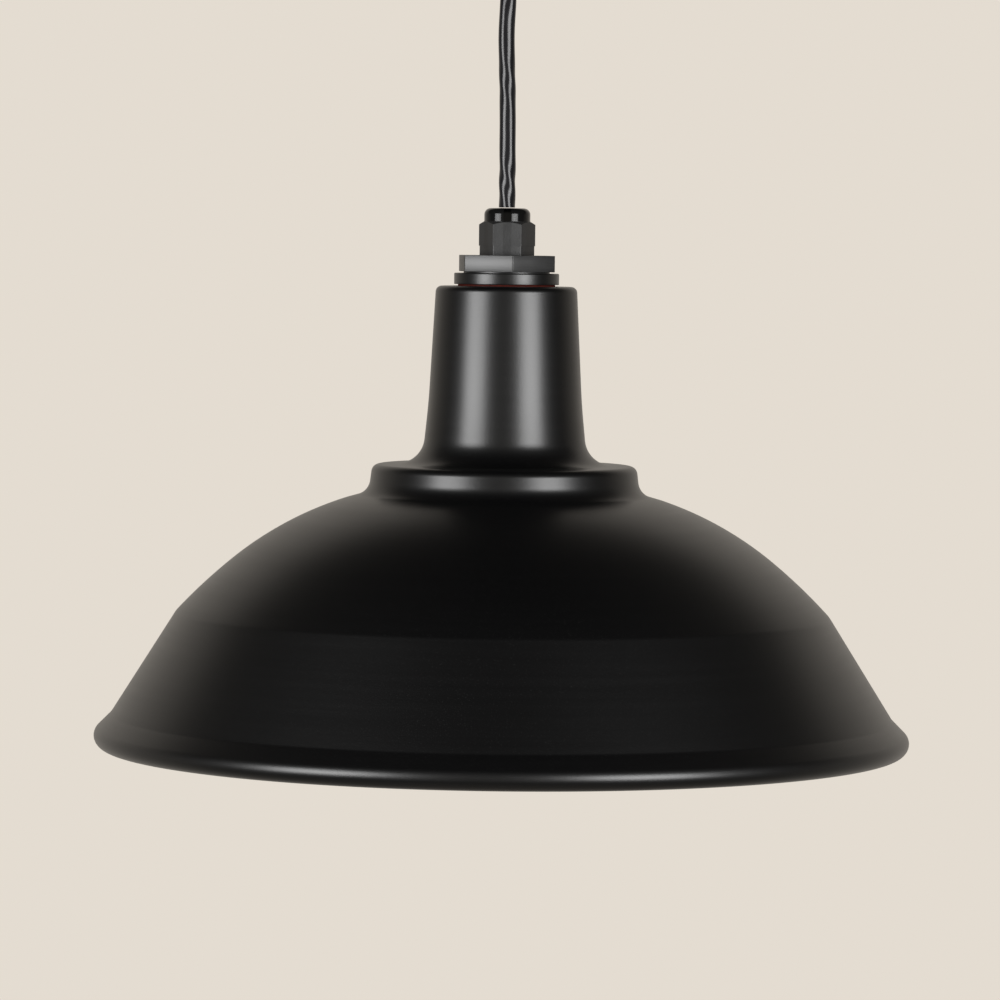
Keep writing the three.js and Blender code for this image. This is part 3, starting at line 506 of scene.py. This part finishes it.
def porcelain_glaze():
    glaze = shading_named("white_porcelain")
    speck = glaze.noise(glaze.spot(), 900, 3)
    return glaze.surface(
        {
            "Base Color": glaze.mix(speck, (0.70, 0.68, 0.62), (0.82, 0.80, 0.75)),
            "Roughness": 0.22 + speck * 0.2,
            "Normal": glaze.bump(speck, 0.02),
        }
    )


def machined_brass():
    metal = shading_named("machined_brass")
    tarnish = metal.noise(metal.spot(), 260, 4)
    return metal.surface(
        {
            "Base Color": metal.mix(tarnish, (0.42, 0.26, 0.09), (0.72, 0.50, 0.20)),
            "Metallic": 1.0,
            "Roughness": 0.2 + tarnish * 0.2,
            "Normal": metal.bump(metal.noise(metal.spot((1, 1, 6)), 700), 0.01),
        }
    )


def core_insulation(name, colour, stripe):
    """Coloured plastic; the earth core's second colour runs along it as a stripe."""
    plastic = shading_named(name)
    band = plastic.noise(plastic.spot((1, 0.15, 0.15)), 330, 0)
    share = plastic.ramp(band, (0.5, 0), (0.52, 1))
    return plastic.surface(
        {
            "Base Color": plastic.mix(share, colour, stripe),
            "Roughness": 0.38 + band * 0.1,
        }
    )


def smooth_bar(name, route, diameter, material):
    """A round bar along a smooth line through the points of a route."""
    line = bpy.data.curves.new(name, "CURVE")
    line.dimensions = "3D"
    line.resolution_u = 8
    line.bevel_depth = diameter / 2 * MM
    line.bevel_resolution = 5
    line.use_fill_caps = True
    spline = line.splines.new("BEZIER")
    spline.bezier_points.add(len(route) - 1)
    for point, place in zip(spline.bezier_points, route):
        point.co = Vector(place) * MM
        point.handle_left_type = point.handle_right_type = "AUTO"
    drawn = bpy.data.objects.new(name, line)
    bpy.context.scene.collection.objects.link(drawn)
    shaped = drawn.evaluated_get(bpy.context.evaluated_depsgraph_get())
    mesh = bpy.data.meshes.new_from_object(shaped)
    bpy.data.objects.remove(drawn)
    mesh.name = name
    bm = bmesh.new()
    bm.from_mesh(mesh)
    return made(name, bm, material, 50)


porcelain = porcelain_glaze()
brass = machined_brass()
core_colours = {
    "live": ("core_brown", (0.13, 0.045, 0.016), (0.16, 0.055, 0.02)),
    "neutral": ("core_blue", (0.02, 0.09, 0.33), (0.03, 0.11, 0.38)),
    "earth": ("core_green", (0.03, 0.22, 0.04), (0.62, 0.50, 0.03)),
}
cores = {
    name: core_insulation(slot + "_insulation", colour, stripe)
    for name, (slot, colour, stripe) in core_colours.items()
}
given(porcelain, "rose_terminal_block")
given(brass, "rose_earth_screw")
given(brass, *("rose_terminal_screw_" + name for name in cores))

tail_foot, tail_top = span("cord_tail_rose")
tail_outline = [(0, tail_foot), (CORD_D / 2, tail_foot), (CORD_D / 2, tail_top), (0, tail_top)]
tail = turned("flex_end_in_rose", tail_outline, sheath, 48)
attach(tail, "rose")
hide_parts("cord_tail_rose")

block_low, block_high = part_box("rose_terminal_block")
way_y = block_high.y / MM - BLOCK_DEPTH / 2
way_z = (block_low.z + block_high.z) / 2 / MM
for side, (name, insulation) in zip((-1, 0, 1), cores.items()):
    start, end = side * CORE_SPREAD, side * TERMINAL_PITCH
    route = [
        (start, 0.4, tail_top - 1),
        (start, 0.4, tail_top + 1.2),
        (start * 1.2, 1.6, tail_top + 3),
        ((start + end) / 2, 8, (tail_top + way_z) / 2 + 1.4),
        (end, way_y - 10.5, way_z),
        (end, way_y - 4.5, way_z),
        (end, way_y + 2, way_z),
    ]
    core = smooth_bar(name + "_core", route, CORE_D, insulation)
    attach(core, "rose")
    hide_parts("rose_core_" + name)

# ---- Strain relief sleeve ----
# A black rubber sleeve under the rose takes the bend when the lamp swings. Rings cut into its
# taper let it flex.
SLEEVE_TIP_R = 4.9
SLEEVE_TIP_EDGE = 0.3
SLEEVE_STRAIGHT = 4
SLEEVE_RINGS = 6
SLEEVE_GROOVE = 0.55
GROOVE_SHAPE = ((0.3, 0), (0.42, 1), (0.72, 1), (0.84, 0))  # shares of the pitch and the depth


def soft_rubber(name, dark, light):
    rubber = shading_named(name)
    bloom = rubber.noise(rubber.spot(), 120, 4)
    grain = rubber.noise(rubber.spot(), 1700)
    return rubber.surface(
        {
            "Base Color": rubber.mix(bloom, dark, light),
            "Roughness": 0.58 + bloom * 0.2,
            "Normal": rubber.bump(grain, 0.03),
        }
    )


rubber = soft_rubber("black_rubber_skin", (0.012, 0.012, 0.012), (0.026, 0.026, 0.026))
tip, mouth = span("strain_relief_sleeve")
sleeve_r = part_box("strain_relief_sleeve")[1].x / MM
taper = mouth - SLEEVE_STRAIGHT - tip
pitch = taper / SLEEVE_RINGS
outline = [
    (bore, tip),
    (SLEEVE_TIP_R - SLEEVE_TIP_EDGE, tip),
    (SLEEVE_TIP_R, tip + SLEEVE_TIP_EDGE),
]
for k in range(SLEEVE_RINGS):
    for share, depth in GROOVE_SHAPE:
        rise = (k + share) * pitch
        radius = SLEEVE_TIP_R + (sleeve_r - SLEEVE_TIP_R) * rise / taper
        outline.append((radius - depth * SLEEVE_GROOVE, tip + rise))
outline += [(sleeve_r, mouth - SLEEVE_STRAIGHT), (sleeve_r, mouth), (bore, mouth)]
sleeve = turned("strain_relief_ringed", outline, rubber, 64)
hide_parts("strain_relief_sleeve")
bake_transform(sleeve)

# ---- Cable gland ----
# A moulded nylon gland: the domed nut squeezes a claw and a rubber seal on to the flex. The
# dome is polished and the nut's six flats are matt, and the body below shows a smaller hexagon.
NUT_FLATS = 21.4
NUT_CHAMFER = 1.4
NUT_CORNER = 0.08
BODY_FLATS = 20.9
BODY_CORNER = 0.3
DOME_R = 10.1
DOME_H = 5.8
DOME_ROUND = 3.2
DOME_LIP = 0.5
DOME_WALL = 2.2
NUT_THREAD_R = 8.7
STEM_R = 8
CLAW_SEAT_R, CLAW_SEAT_H = 7.1, 1.45


def eased(bm, edges, width, segments):
    """The edges rounded off."""
    bmesh.ops.bevel(
        bm,
        geom=edges,
        offset=width * MM,
        offset_type="OFFSET",
        affect="EDGES",
        segments=segments,
        profile=0.5,
        material=-1,
    )


def hexagon(across, foot, top, corner, turn=0, edge=0):
    """A bmesh of a hexagonal prism with rounded upright corners and eased top and foot."""
    bm = bmesh.new()
    radius = across / math.sqrt(3) * MM
    bmesh.ops.create_circle(bm, cap_ends=True, segments=6, radius=radius)
    bmesh.ops.rotate(bm, verts=bm.verts, matrix=Matrix.Rotation(math.radians(turn + 30), 3, "Z"))
    bmesh.ops.translate(bm, verts=bm.verts, vec=(0, 0, foot * MM))
    grown = bmesh.ops.extrude_face_region(bm, geom=bm.faces[:])
    raised = [part for part in grown["geom"] if isinstance(part, bmesh.types.BMVert)]
    bmesh.ops.translate(bm, verts=raised, vec=(0, 0, (top - foot) * MM))
    upright = [e for e in bm.edges if abs(e.verts[0].co.z - e.verts[1].co.z) > 1e-6]
    eased(bm, upright, corner, 5)
    if edge:
        level = [e for e in bm.edges if abs(e.verts[0].co.z - e.verts[1].co.z) < 1e-6]
        eased(bm, level, edge, 2)
    return bm


def drill(radius, material, sides):
    """A long round tool that opens a hole up the middle of the lamp."""
    outline = [(0, -400), (radius, -400), (radius, 0), (0, 0)]
    return turned("drill", outline, material, sides)


def gland_nylon(dome_foot):
    """Matt flats with a smoother band down the middle of each, also painted darker there as painted
    shade, under a polished dome.
    """
    nylon = shading_named("gland_nylon")
    split = {"Vector": nylon.spot()}
    east = nylon.node("ShaderNodeSeparateXYZ", {}, split, "X")
    north = nylon.node("ShaderNodeSeparateXYZ", {}, split, "Y")
    sixth = math.pi / 6
    across = nylon.node(
        "ShaderNodeMath",
        {"operation": "PINGPONG"},
        {0: north.math("ARCTAN2", north, east) + 4 * math.pi, 1: sixth},
    )
    band = nylon.ramp(across * (1 / sixth), (0.62, 0), (0.72, 1))
    polish = nylon.ramp((nylon.height() - dome_foot * MM) * 1000 + 0.5, (0.45, 0), (0.62, 1))
    grain = nylon.noise(nylon.spot(), 1300, 3)
    flow = nylon.noise(nylon.spot(), 260, 3)
    matt = 0.46 + flow * 0.08 - band * 0.06
    return nylon.surface(
        {
            # The band down the middle of each flat is painted darker: a painted shade, not a colour of
            # the nylon.
            "Base Color": nylon.mix(band * 0.3 + polish * 0.7, (0.009,) * 3, (0.0005,) * 3),
            "Roughness": matt - polish * 0.42,
            "Normal": nylon.bump(grain * (1 - polish), 0.05),
        }
    )


nut_foot, dome_top = span("gland_dome_nut")
body_foot, body_top = span("gland_body")
adaptor_foot, adaptor_top = span("hex_adaptor")
dome_foot = dome_top - DOME_H
nut_corner = NUT_FLATS / math.sqrt(3)
past_nut = nut_corner + 0.2
gland_plastic = gland_nylon(dome_foot)
nut = turned(
    "domed_gland_nut",
    rounded(
        [
            (bore, dome_top - DOME_LIP),
            (bore + DOME_LIP, dome_top, 0.3),
            (DOME_R, dome_top, DOME_ROUND),
            (DOME_R, dome_foot),
            (nut_corner, dome_foot - NUT_CHAMFER),
            (past_nut, dome_foot - NUT_CHAMFER - 0.3),
            (past_nut, nut_foot),
            (NUT_THREAD_R + FIT, nut_foot),
            (NUT_THREAD_R + FIT, dome_foot),
            (bore + 1.2, dome_top - DOME_WALL),
            (bore, dome_top - DOME_WALL),
        ],
        8,
    ),
    gland_plastic,
    120,
)
prism = made("prism", hexagon(NUT_FLATS, nut_foot - 1, dome_top + 1, NUT_CORNER), gland_plastic)
combined(nut, prism, "INTERSECT")
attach(nut, "pendant")
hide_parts("gland_dome_nut")

body_hex_foot = adaptor_top + SEAT
gland_body = turned(
    "gland_body_stem",
    [
        (bore, body_foot),
        (STEM_R, body_foot),
        (STEM_R, body_hex_foot + 2),
        (NUT_THREAD_R, body_hex_foot + 2),
        (NUT_THREAD_R, body_top),
        (CLAW_SEAT_R, body_top),
        (CLAW_SEAT_R, nut_foot + CLAW_SEAT_H),
        (bore, nut_foot + CLAW_SEAT_H),
    ],
    gland_plastic,
    64,
)
body_hex = made(
    "hex",
    hexagon(BODY_FLATS, body_hex_foot, nut_foot - 0.01, BODY_CORNER),
    gland_plastic,
)
combined(body_hex, drill(STEM_R - 0.5, gland_plastic, 64), "DIFFERENCE")
combined(gland_body, body_hex, "UNION")
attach(gland_body, "pendant")
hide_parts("gland_body")
given(nylon, "gland_claw")
given(rubber, "gland_seal")

# ---- Hexagonal adaptor ----
# A big steel hexagon, dark plated over fine turning lines, with a spigot that goes down through
# the flange washer and the neck. It carries the gland's thread above and the nipple below.
ADAPTOR_FLATS = 39.7
ADAPTOR_TURN = -23.5
ADAPTOR_CORNER = 0.35
ADAPTOR_EDGE = 0.18
SPIGOT_R = 12.4
SPIGOT_EDGE = 0.5
GLAND_BORE_R, GLAND_BORE_DEPTH = 8.3, 9
COLLAR_H, COLLAR_INSET = 0.65, 1
NIPPLE_WALL = 1.1
NIPPLE_DEPTH = 3.95  # from the top of the neck down to the nipple's end


def dark_plated_steel():
    steel = shading_named("dark_plated_steel")
    lines = steel.noise(steel.spot((0.03, 0.03, 1)), 2600, 3)
    broad = steel.noise(steel.spot((0.2, 0.2, 1)), 420, 3)
    patch = steel.noise(steel.spot(), 90, 4)
    return steel.surface(
        {
            "Base Color": steel.mix(patch * 0.5 + lines * 0.5, (0.030,) * 3, (0.058,) * 3),
            "Metallic": 0.85,
            "Roughness": 0.34 + lines * 0.1 + patch * 0.06,
            "Normal": steel.bump(lines + broad * 0.6, 0.012),
        }
    )


steel = dark_plated_steel()
flange_foot, flange_top = span("flange_washer")
hex_foot = flange_top + COLLAR_H
neck_top = span("shade")[1]
nipple_r = bore + NIPPLE_WALL
nipple_bore = nipple_r + FIT
collar_r = ADAPTOR_FLATS / 2 - COLLAR_INSET
thread_floor = adaptor_top - GLAND_BORE_DEPTH
adaptor = turned(
    "adaptor_core",
    [
        (GLAND_BORE_R, hex_foot + 2),
        (collar_r, hex_foot + 2),
        (collar_r, flange_top + SEAT),
        (SPIGOT_R, flange_top + SEAT),
        (SPIGOT_R, adaptor_foot + SPIGOT_EDGE),
        (SPIGOT_R - SPIGOT_EDGE, adaptor_foot),
        (nipple_bore, adaptor_foot),
        (nipple_bore, neck_top - NIPPLE_DEPTH),
        (bore, neck_top - NIPPLE_DEPTH),
        (bore, thread_floor),
        (GLAND_BORE_R, thread_floor),
    ],
    steel,
    96,
)
big_hex = made(
    "hex",
    hexagon(ADAPTOR_FLATS, hex_foot, adaptor_top, ADAPTOR_CORNER, ADAPTOR_TURN, ADAPTOR_EDGE),
    steel,
)
combined(big_hex, drill(GLAND_BORE_R, steel, 96), "DIFFERENCE")
combined(adaptor, big_hex, "UNION")
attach(adaptor, "pendant")
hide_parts("hex_adaptor")

# ---- Flange washer and gasket ----
# A thick black-coated washer spreads the adaptor's load over the top of the neck, and a thin
# red silicone gasket under it keeps the weather out.
FLANGE_EDGE = 0.5
GASKET_BULGE = 0.2


def red_silicone():
    silicone = shading_named("red_silicone_rubber")
    bloom = silicone.noise(silicone.spot(), 180, 4)
    return silicone.surface(
        {
            "Base Color": silicone.mix(bloom, (0.040, 0.004, 0.002), (0.070, 0.008, 0.004)),
            "Roughness": 0.7 + bloom * 0.2,
            "Specular IOR Level": 0.2,
            "Normal": silicone.bump(silicone.noise(silicone.spot(), 1400), 0.02),
        }
    )


flange_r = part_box("flange_washer")[1].x / MM
spigot_bore = SPIGOT_R + FIT
flange = turned(
    "flange_washer_turned",
    rounded(
        [
            (spigot_bore, flange_foot),
            (flange_r, flange_foot, FLANGE_EDGE / 2),
            (flange_r, flange_top, FLANGE_EDGE),
            (spigot_bore, flange_top),
        ]
    ),
    coat,
    144,
)
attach(flange, "pendant")
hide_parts("flange_washer")

gasket_foot, gasket_top = span("neck_gasket")
gasket_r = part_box("neck_gasket")[1].x / MM
gasket = turned(
    "red_neck_gasket",
    rounded(
        [
            (spigot_bore, gasket_foot),
            (gasket_r - GASKET_BULGE, gasket_foot),
            (gasket_r, (gasket_foot + gasket_top) / 2, 0.3),
            (gasket_r - GASKET_BULGE, gasket_top),
            (spigot_bore, gasket_top),
        ]
    ),
    red_silicone(),
    128,
)
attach(gasket, "pendant")
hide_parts("neck_gasket")

# ---- Shade ----
# One steel sheet, spun from the neck down over a stepped former, with its edge rolled inwards
# to a bead. It is powder coated, satin black outside and off-white inside.
SHADE_WALL = 1.2
NECK_TOP_R, NECK_TOP_ROUND = 30.9, 2.7
NECK_MID_R, NECK_MID_DEPTH = 33.6, 51
NECK_FOOT_R, FOOT_ROUND = 36.3, 13.3
SHOULDER_R, SHOULDER_DEPTH, SHOULDER_FALL, SHOULDER_ROUND = 58, 77.9, 0.55, 3.6
BAND_R, BAND_DEPTH, BAND_ROUND = 59.5, 90.6, 7.6
DOME_START_SLOPE = 14
CROWN_ARC_R, CROWN_END_SLOPE = 151.5, 39.2
SKIRT_ARC_R = 236.7
KINK_DEPTH, KINK_ROUND = 143.7, 9
CONE_SLOPE = 57.9
FLARE_DEPTH, FLARE_SLOPE, FLARE_ROUND = 188.5, 45, 5
BEAD_R = 5.2
CURL_END = -268  # where the rolled edge all but meets the wall again
SHADE_SIDES = 180


def arc(middle, radius, start, stop, steps):
    """Points on a circle round a middle, from one angle to another, in degrees."""
    for k in range(steps + 1):
        angle = math.radians(start + (stop - start) * k / steps)
        yield middle[0] + radius * math.cos(angle), middle[1] + radius * math.sin(angle)


def offset(points, distance):
    """The same line moved sideways, to the right as it runs."""
    moved = []
    for k, point in enumerate(points):
        before, after = Vector(points[max(k - 1, 0)]), Vector(points[min(k + 1, len(points) - 1)])
        along = (after - before).normalized()
        moved.append((point[0] + along.y * distance, point[1] - along.x * distance))
    return moved


def shade_face(bead_outer_r):
    """The outside of the shade, from the spigot's hole to the top of the bead."""
    start, change = math.radians(DOME_START_SLOPE), math.radians(CROWN_END_SLOPE)
    crown = (
        BAND_R - CROWN_ARC_R * math.sin(start),
        -BAND_DEPTH - CROWN_ARC_R * math.cos(start),
    )
    skirt = (
        crown[0] + (CROWN_ARC_R - SKIRT_ARC_R) * math.sin(change),
        crown[1] + (CROWN_ARC_R - SKIRT_ARC_R) * math.cos(change),
    )
    kink_slope = math.acos((-skirt[1] - KINK_DEPTH) / SKIRT_ARC_R)
    kink_r = skirt[0] + SKIRT_ARC_R * math.sin(kink_slope)
    flare_r = kink_r + (FLARE_DEPTH - KINK_DEPTH) / math.tan(math.radians(CONE_SLOPE))
    flare = math.radians(FLARE_SLOPE)
    tangent_r = bead_outer_r - BEAD_R + BEAD_R * math.sin(flare)
    tangent_depth = FLARE_DEPTH + (tangent_r - flare_r) * math.tan(flare)
    dome = [
        *arc(crown, CROWN_ARC_R, 90 - DOME_START_SLOPE - 4, 90 - CROWN_END_SLOPE, 20),
        *arc(skirt, SKIRT_ARC_R, 90 - CROWN_END_SLOPE, 90 - math.degrees(kink_slope), 12),
    ]
    upper = rounded(
        [
            (spigot_bore, 0),
            (NECK_TOP_R, 0, NECK_TOP_ROUND),
            (NECK_MID_R, -NECK_MID_DEPTH, 300),
            (NECK_FOOT_R, -SHOULDER_DEPTH, FOOT_ROUND),
            (SHOULDER_R, -SHOULDER_DEPTH - SHOULDER_FALL, SHOULDER_ROUND),
            (BAND_R, -BAND_DEPTH, BAND_ROUND),
            dome[0],
        ],
        12,
    )
    lower = rounded(
        [
            dome[-2],
            (kink_r, -KINK_DEPTH, KINK_ROUND),
            (flare_r, -FLARE_DEPTH, FLARE_ROUND),
            (tangent_r, -tangent_depth),
        ],
        8,
    )
    bead_middle = (bead_outer_r - BEAD_R, -tangent_depth - BEAD_R * math.cos(flare))
    return upper + dome[1:-2] + lower, bead_middle


bead_outer_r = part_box("shade")[1].x / MM
face, bead_middle = shade_face(bead_outer_r)
back = offset(face, SHADE_WALL)
start = 90 - FLARE_SLOPE
curl = [
    *arc(bead_middle, BEAD_R, start, CURL_END, 44),
    *arc(bead_middle, BEAD_R - SHADE_WALL, CURL_END, start, 36),
]
outline = [(r, neck_top + h) for r, h in [*face[:-1], *curl, *reversed(back[:-1])]]
bm = bmesh.new()
inside = bm.verts.layers.float.new("inside")
points = [bm.verts.new((r * MM, 0, h * MM)) for r, h in outline]
for point in points[len(face) + len(curl) :]:
    point[inside] = 1
edges = [bm.edges.new(pair) for pair in zip(points, [*points[1:], points[0]])]
bmesh.ops.spin(
    bm,
    geom=points + edges,
    axis=(0, 0, 1),
    angle=2 * math.pi,
    steps=SHADE_SIDES,
    use_merge=True,
)
shade = made("spun_shade", bm, powder_coat("shade_powder_coat", 14, 0.6, lined=True), 40)
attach(shade, "pendant")
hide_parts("shade")

# ---- Inside the neck ----
# A zinc-plated washer and locknut on the spigot clamp the neck. The threaded nipple below
# carries the lampholder, with a brass tag for the earth.
given(zinc, "neck_washer", "neck_locknut", "threaded_nipple", "nipple_nut")
given(brass, "earth_tag")
given(sheath, "cord_tail_head")
given(cores["live"], "head_core_live")
given(cores["neutral"], "head_core_neutral")

# ---- Lampholder ----
# A two-part phenolic shell round a porcelain insert with a brass screw shell. The cap is
# screwed on the nipple, and the skirt is screwed on the cap.
HOLDER_WALL = 2.2
SKIRT_RIBS = 36
SKIRT_RIB_DEPTH = 0.4
SHANK_WALL, SHANK_H = 2.6, 7
CAP_SHOULDER, CAP_ROOF = 9, 11.2  # depths under the top, outside and inside
LIP_R, LIP_H = 14.3, 5
phenolic = moulded_nylon("black_phenolic", 0.3, 0.012, 0.02)
cap_foot, cap_top = span("lampholder_cap")
skirt_foot, skirt_top = span("lampholder_skirt")
holder_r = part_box("lampholder_cap")[1].x / MM
cap = turned(
    "lampholder_cap_moulded",
    rounded(
        [
            (nipple_bore, cap_top),
            (nipple_r + SHANK_WALL, cap_top, 0.4),
            (nipple_r + SHANK_WALL, cap_top - SHANK_H, 1.2),
            (holder_r, cap_top - CAP_SHOULDER, 5),
            (holder_r, cap_foot + 0.8),
            (holder_r, cap_foot, 0.3),
            (holder_r - HOLDER_WALL, cap_foot),
            (holder_r - HOLDER_WALL, cap_top - CAP_ROOF - 1),
            (nipple_bore, cap_top - CAP_ROOF),
        ]
    ),
    phenolic,
    96,
)
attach(cap, "pendant")
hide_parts("lampholder_cap")

bm = spun(
    rounded(
        [
            (holder_r - HOLDER_WALL, skirt_top),
            (holder_r, skirt_top, 0.3),
            (holder_r, skirt_top - 3),
            (holder_r, skirt_top - 4),
            (holder_r, skirt_foot + 6),
            (holder_r, skirt_foot + 5),
            (holder_r, skirt_foot, 1),
            (LIP_R, skirt_foot),
            (LIP_R, skirt_foot + LIP_H),
            (holder_r - HOLDER_WALL, skirt_foot + LIP_H),
        ]
    ),
    SKIRT_RIBS * 5,
)
for vert in bm.verts:
    level = vert.co.z / MM
    if vert.co.xy.length / MM > holder_r - 0.1 and skirt_foot + 5.5 < level < skirt_top - 3.5:
        turn = math.atan2(vert.co.y, vert.co.x)
        vert.co.xy *= 1 - SKIRT_RIB_DEPTH * (1 + math.cos(SKIRT_RIBS * turn)) / 2 / holder_r
skirt = made("lampholder_skirt_ribbed", bm, phenolic, 35)
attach(skirt, "pendant")
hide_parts("lampholder_skirt")
given(porcelain, "lampholder_insert")
given(brass, "lampholder_screw_shell", "lampholder_centre_contact")
given(brass, "lampholder_screw_live", "lampholder_screw_neutral")

# ---- Lamp ----
# A white plastic housing joined to an opal diffuser holds the board with the light sources.
# Its nickel-plated cap, drawn without the thread, holds a black insulator and a tip contact.
LAMP_WALL = 1.2
LAMP_CAP_WALL = 0.7
HOUSING_STEP = 0.6  # from the diffuser in to the housing
HOUSING_TAPER_H = 12


def satin_nickel():
    metal = shading_named("satin_nickel")
    tarnish = metal.noise(metal.spot(), 200, 4)
    return metal.surface(
        {
            "Base Color": metal.mix(tarnish, (0.50, 0.47, 0.42), (0.66, 0.64, 0.59)),
            "Metallic": 1.0,
            "Roughness": 0.2 + tarnish * 0.15,
        }
    )


def white_plastic(name, dark, light, roughness):
    plastic = shading_named(name)
    cloud = plastic.noise(plastic.spot(), 70, 3)
    return plastic.surface(
        {
            "Base Color": plastic.mix(cloud, dark, light),
            "Roughness": roughness + cloud * 0.08,
            "Normal": plastic.bump(plastic.noise(plastic.spot(), 1300), 0.02),
        }
    )


def circuit_board(name, dark, light):
    """Solder mask over the tracks of a circuit board."""
    board = shading_named(name)
    weave = board.noise(board.spot(), 700, 2)
    tracks = board.ramp(board.noise(board.spot((1, 0.2, 1)), 240, 0), (0.48, 0), (0.52, 1))
    return board.surface(
        {
            "Base Color": board.mix(tracks * 0.7 + weave * 0.3, dark, light),
            "Roughness": 0.35 + weave * 0.15,
            "Normal": board.bump(tracks, 0.03),
        }
    )


lamp_foot = span("lamp_diffuser")[0]
lamp_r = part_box("lamp_diffuser")[1].x / MM
globe = (0, lamp_foot + lamp_r)
opal = white_plastic("opal_diffuser", (0.84, 0.82, 0.78), (0.90, 0.89, 0.85), 0.34)
outline = [*arc(globe, lamp_r, 4, -90, 28), *arc(globe, lamp_r - LAMP_WALL, -90, 4, 24)]
outline = [(radius if radius > 1e-6 else 0, height) for radius, height in outline]
diffuser = turned("opal_diffuser_dome", outline, opal, 96)
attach(diffuser, "lamp")
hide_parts("lamp_diffuser")

housing_foot, housing_top = span("lamp_housing")
lamp_cap_foot = span("lamp_cap")[0]
lamp_cap_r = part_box("lamp_cap")[1].x / MM
top_r = lamp_cap_r - LAMP_CAP_WALL
body = rounded(
    [
        (top_r, housing_top),
        (top_r, lamp_cap_foot),
        (lamp_cap_r + 0.6, lamp_cap_foot - SEAT, 0.3),
        (lamp_cap_r + 1.4, lamp_cap_foot - HOUSING_TAPER_H, 30),
        (lamp_r - HOUSING_STEP, housing_foot),
    ],
    14,
)
white = white_plastic("white_housing_plastic", (0.76, 0.76, 0.74), (0.82, 0.82, 0.80), 0.3)
outline = [*body, *reversed(offset(body, LAMP_WALL))]
housing = turned("lamp_housing_shell", outline, white, 96)
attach(housing, "lamp")
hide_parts("lamp_housing")

nickel = satin_nickel()
given(nickel, "lamp_contact", "lamp_cap")
given(phenolic, "lamp_insulator")
given(circuit_board("led_board_white", (0.66, 0.66, 0.62), (0.80, 0.80, 0.77)), "lamp_led_board")
given(circuit_board("driver_board_green", (0.01, 0.07, 0.03), (0.02, 0.13, 0.05)), "lamp_driver_board")

# ---- Studio ----
# A warm pale backdrop stands behind the lamp, with a tall softbox at each side of the camera
# and nothing bright overhead. The floor is far below.
BACKDROP = (0.775, 0.716, 0.638)
FLOOR_Z = -3.4
FLOOR_R = 4.5
FLOOR_COLOUR = (0.72, 0.67, 0.60, 1)
BOX_DISTANCE = 1.7
BOX_TURNS = (-48, 38)
BOX_Z = -0.12
BOX_LAYERS = (((0.95, 0.95), 11), ((0.45, 0.8), 32))  # width and height, power: dim, then its core

world = bpy.data.worlds.new("studio")
bpy.context.scene.world = world
air = Shading(world)

# The room that the lamp reflects: pale behind it, dim all round, with a faint glow in front.
look = air.node("ShaderNodeTexCoord", {}, {}, "Generated")
away = air.node("ShaderNodeSeparateXYZ", {}, {"Vector": look}, "Y")
up = air.node("ShaderNodeSeparateXYZ", {}, {"Vector": look}, "Z")
wall = air.ramp(away - up + 0.5, (0.38, 0), (0.68, 1)) * air.ramp(away, (0.0, 0.2), (0.8, 1))
front = air.ramp(away + 1, (0.0, 0.2), (0.35, 0))
room = air.ramp(up * 0.5 + 0.5, (0.0, 0.5), (0.2, 0.04), (0.5, 0.08), (0.87, 0.07), (1.0, 0.02))

# The backdrop itself is even.
plain = air.node("ShaderNodeLightPath", {}, {}, "Is Camera Ray")
level = wall * 0.7 + (1 - wall) * room * 0.8 + front
glow = plain + (1 - plain) * level
sky = air.node("ShaderNodeBackground", {}, {"Color": (*BACKDROP, 1), "Strength": glow})
air.node("ShaderNodeOutputWorld", {}, {"Surface": sky})

for turn in BOX_TURNS:
    for size, power in BOX_LAYERS:
        box = bpy.data.lights.new("softbox", "AREA")
        box.shape = "RECTANGLE"
        box.size = size[0]
        box.size_y = size[1]
        box.energy = power
        stand = bpy.data.objects.new("softbox", box)
        across = Vector((math.sin(math.radians(turn)), -math.cos(math.radians(turn)), 0))
        spot = across * BOX_DISTANCE + Vector((0, 0, BOX_Z))
        facing = (-across).to_track_quat("-Z", "Y").to_matrix().to_4x4()
        stand.matrix_world = Matrix.Translation(spot) @ facing
        bpy.context.scene.collection.objects.link(stand)

floor_paint = shading_named("pale_floor")
place = floor_paint.node("ShaderNodeTexCoord", {}, {}, "Object")
out = floor_paint.node("ShaderNodeVectorMath", {"operation": "LENGTH"}, {"Vector": place}, "Value")
edge = floor_paint.ramp(out * (1 / FLOOR_R), (0.5, 0), (0.98, 1))
pale = floor_paint.node("ShaderNodeBsdfDiffuse", {}, {"Color": FLOOR_COLOUR, "Roughness": 0.6})
clear = floor_paint.node("ShaderNodeBsdfTransparent", {}, {})
blend = floor_paint.node("ShaderNodeMixShader", {}, {0: edge, 1: pale, 2: clear})
floor_paint.node("ShaderNodeOutputMaterial", {}, {"Surface": blend})
bm = bmesh.new()
bmesh.ops.create_circle(bm, cap_ends=True, segments=96, radius=FLOOR_R)
bmesh.ops.translate(bm, verts=bm.verts, vec=(0, 0, FLOOR_Z))
floor = made("floor", bm, floor_paint.owner)

bpy.context.scene.view_settings.view_transform = "Standard"
bpy.context.scene.view_settings.look = "None"
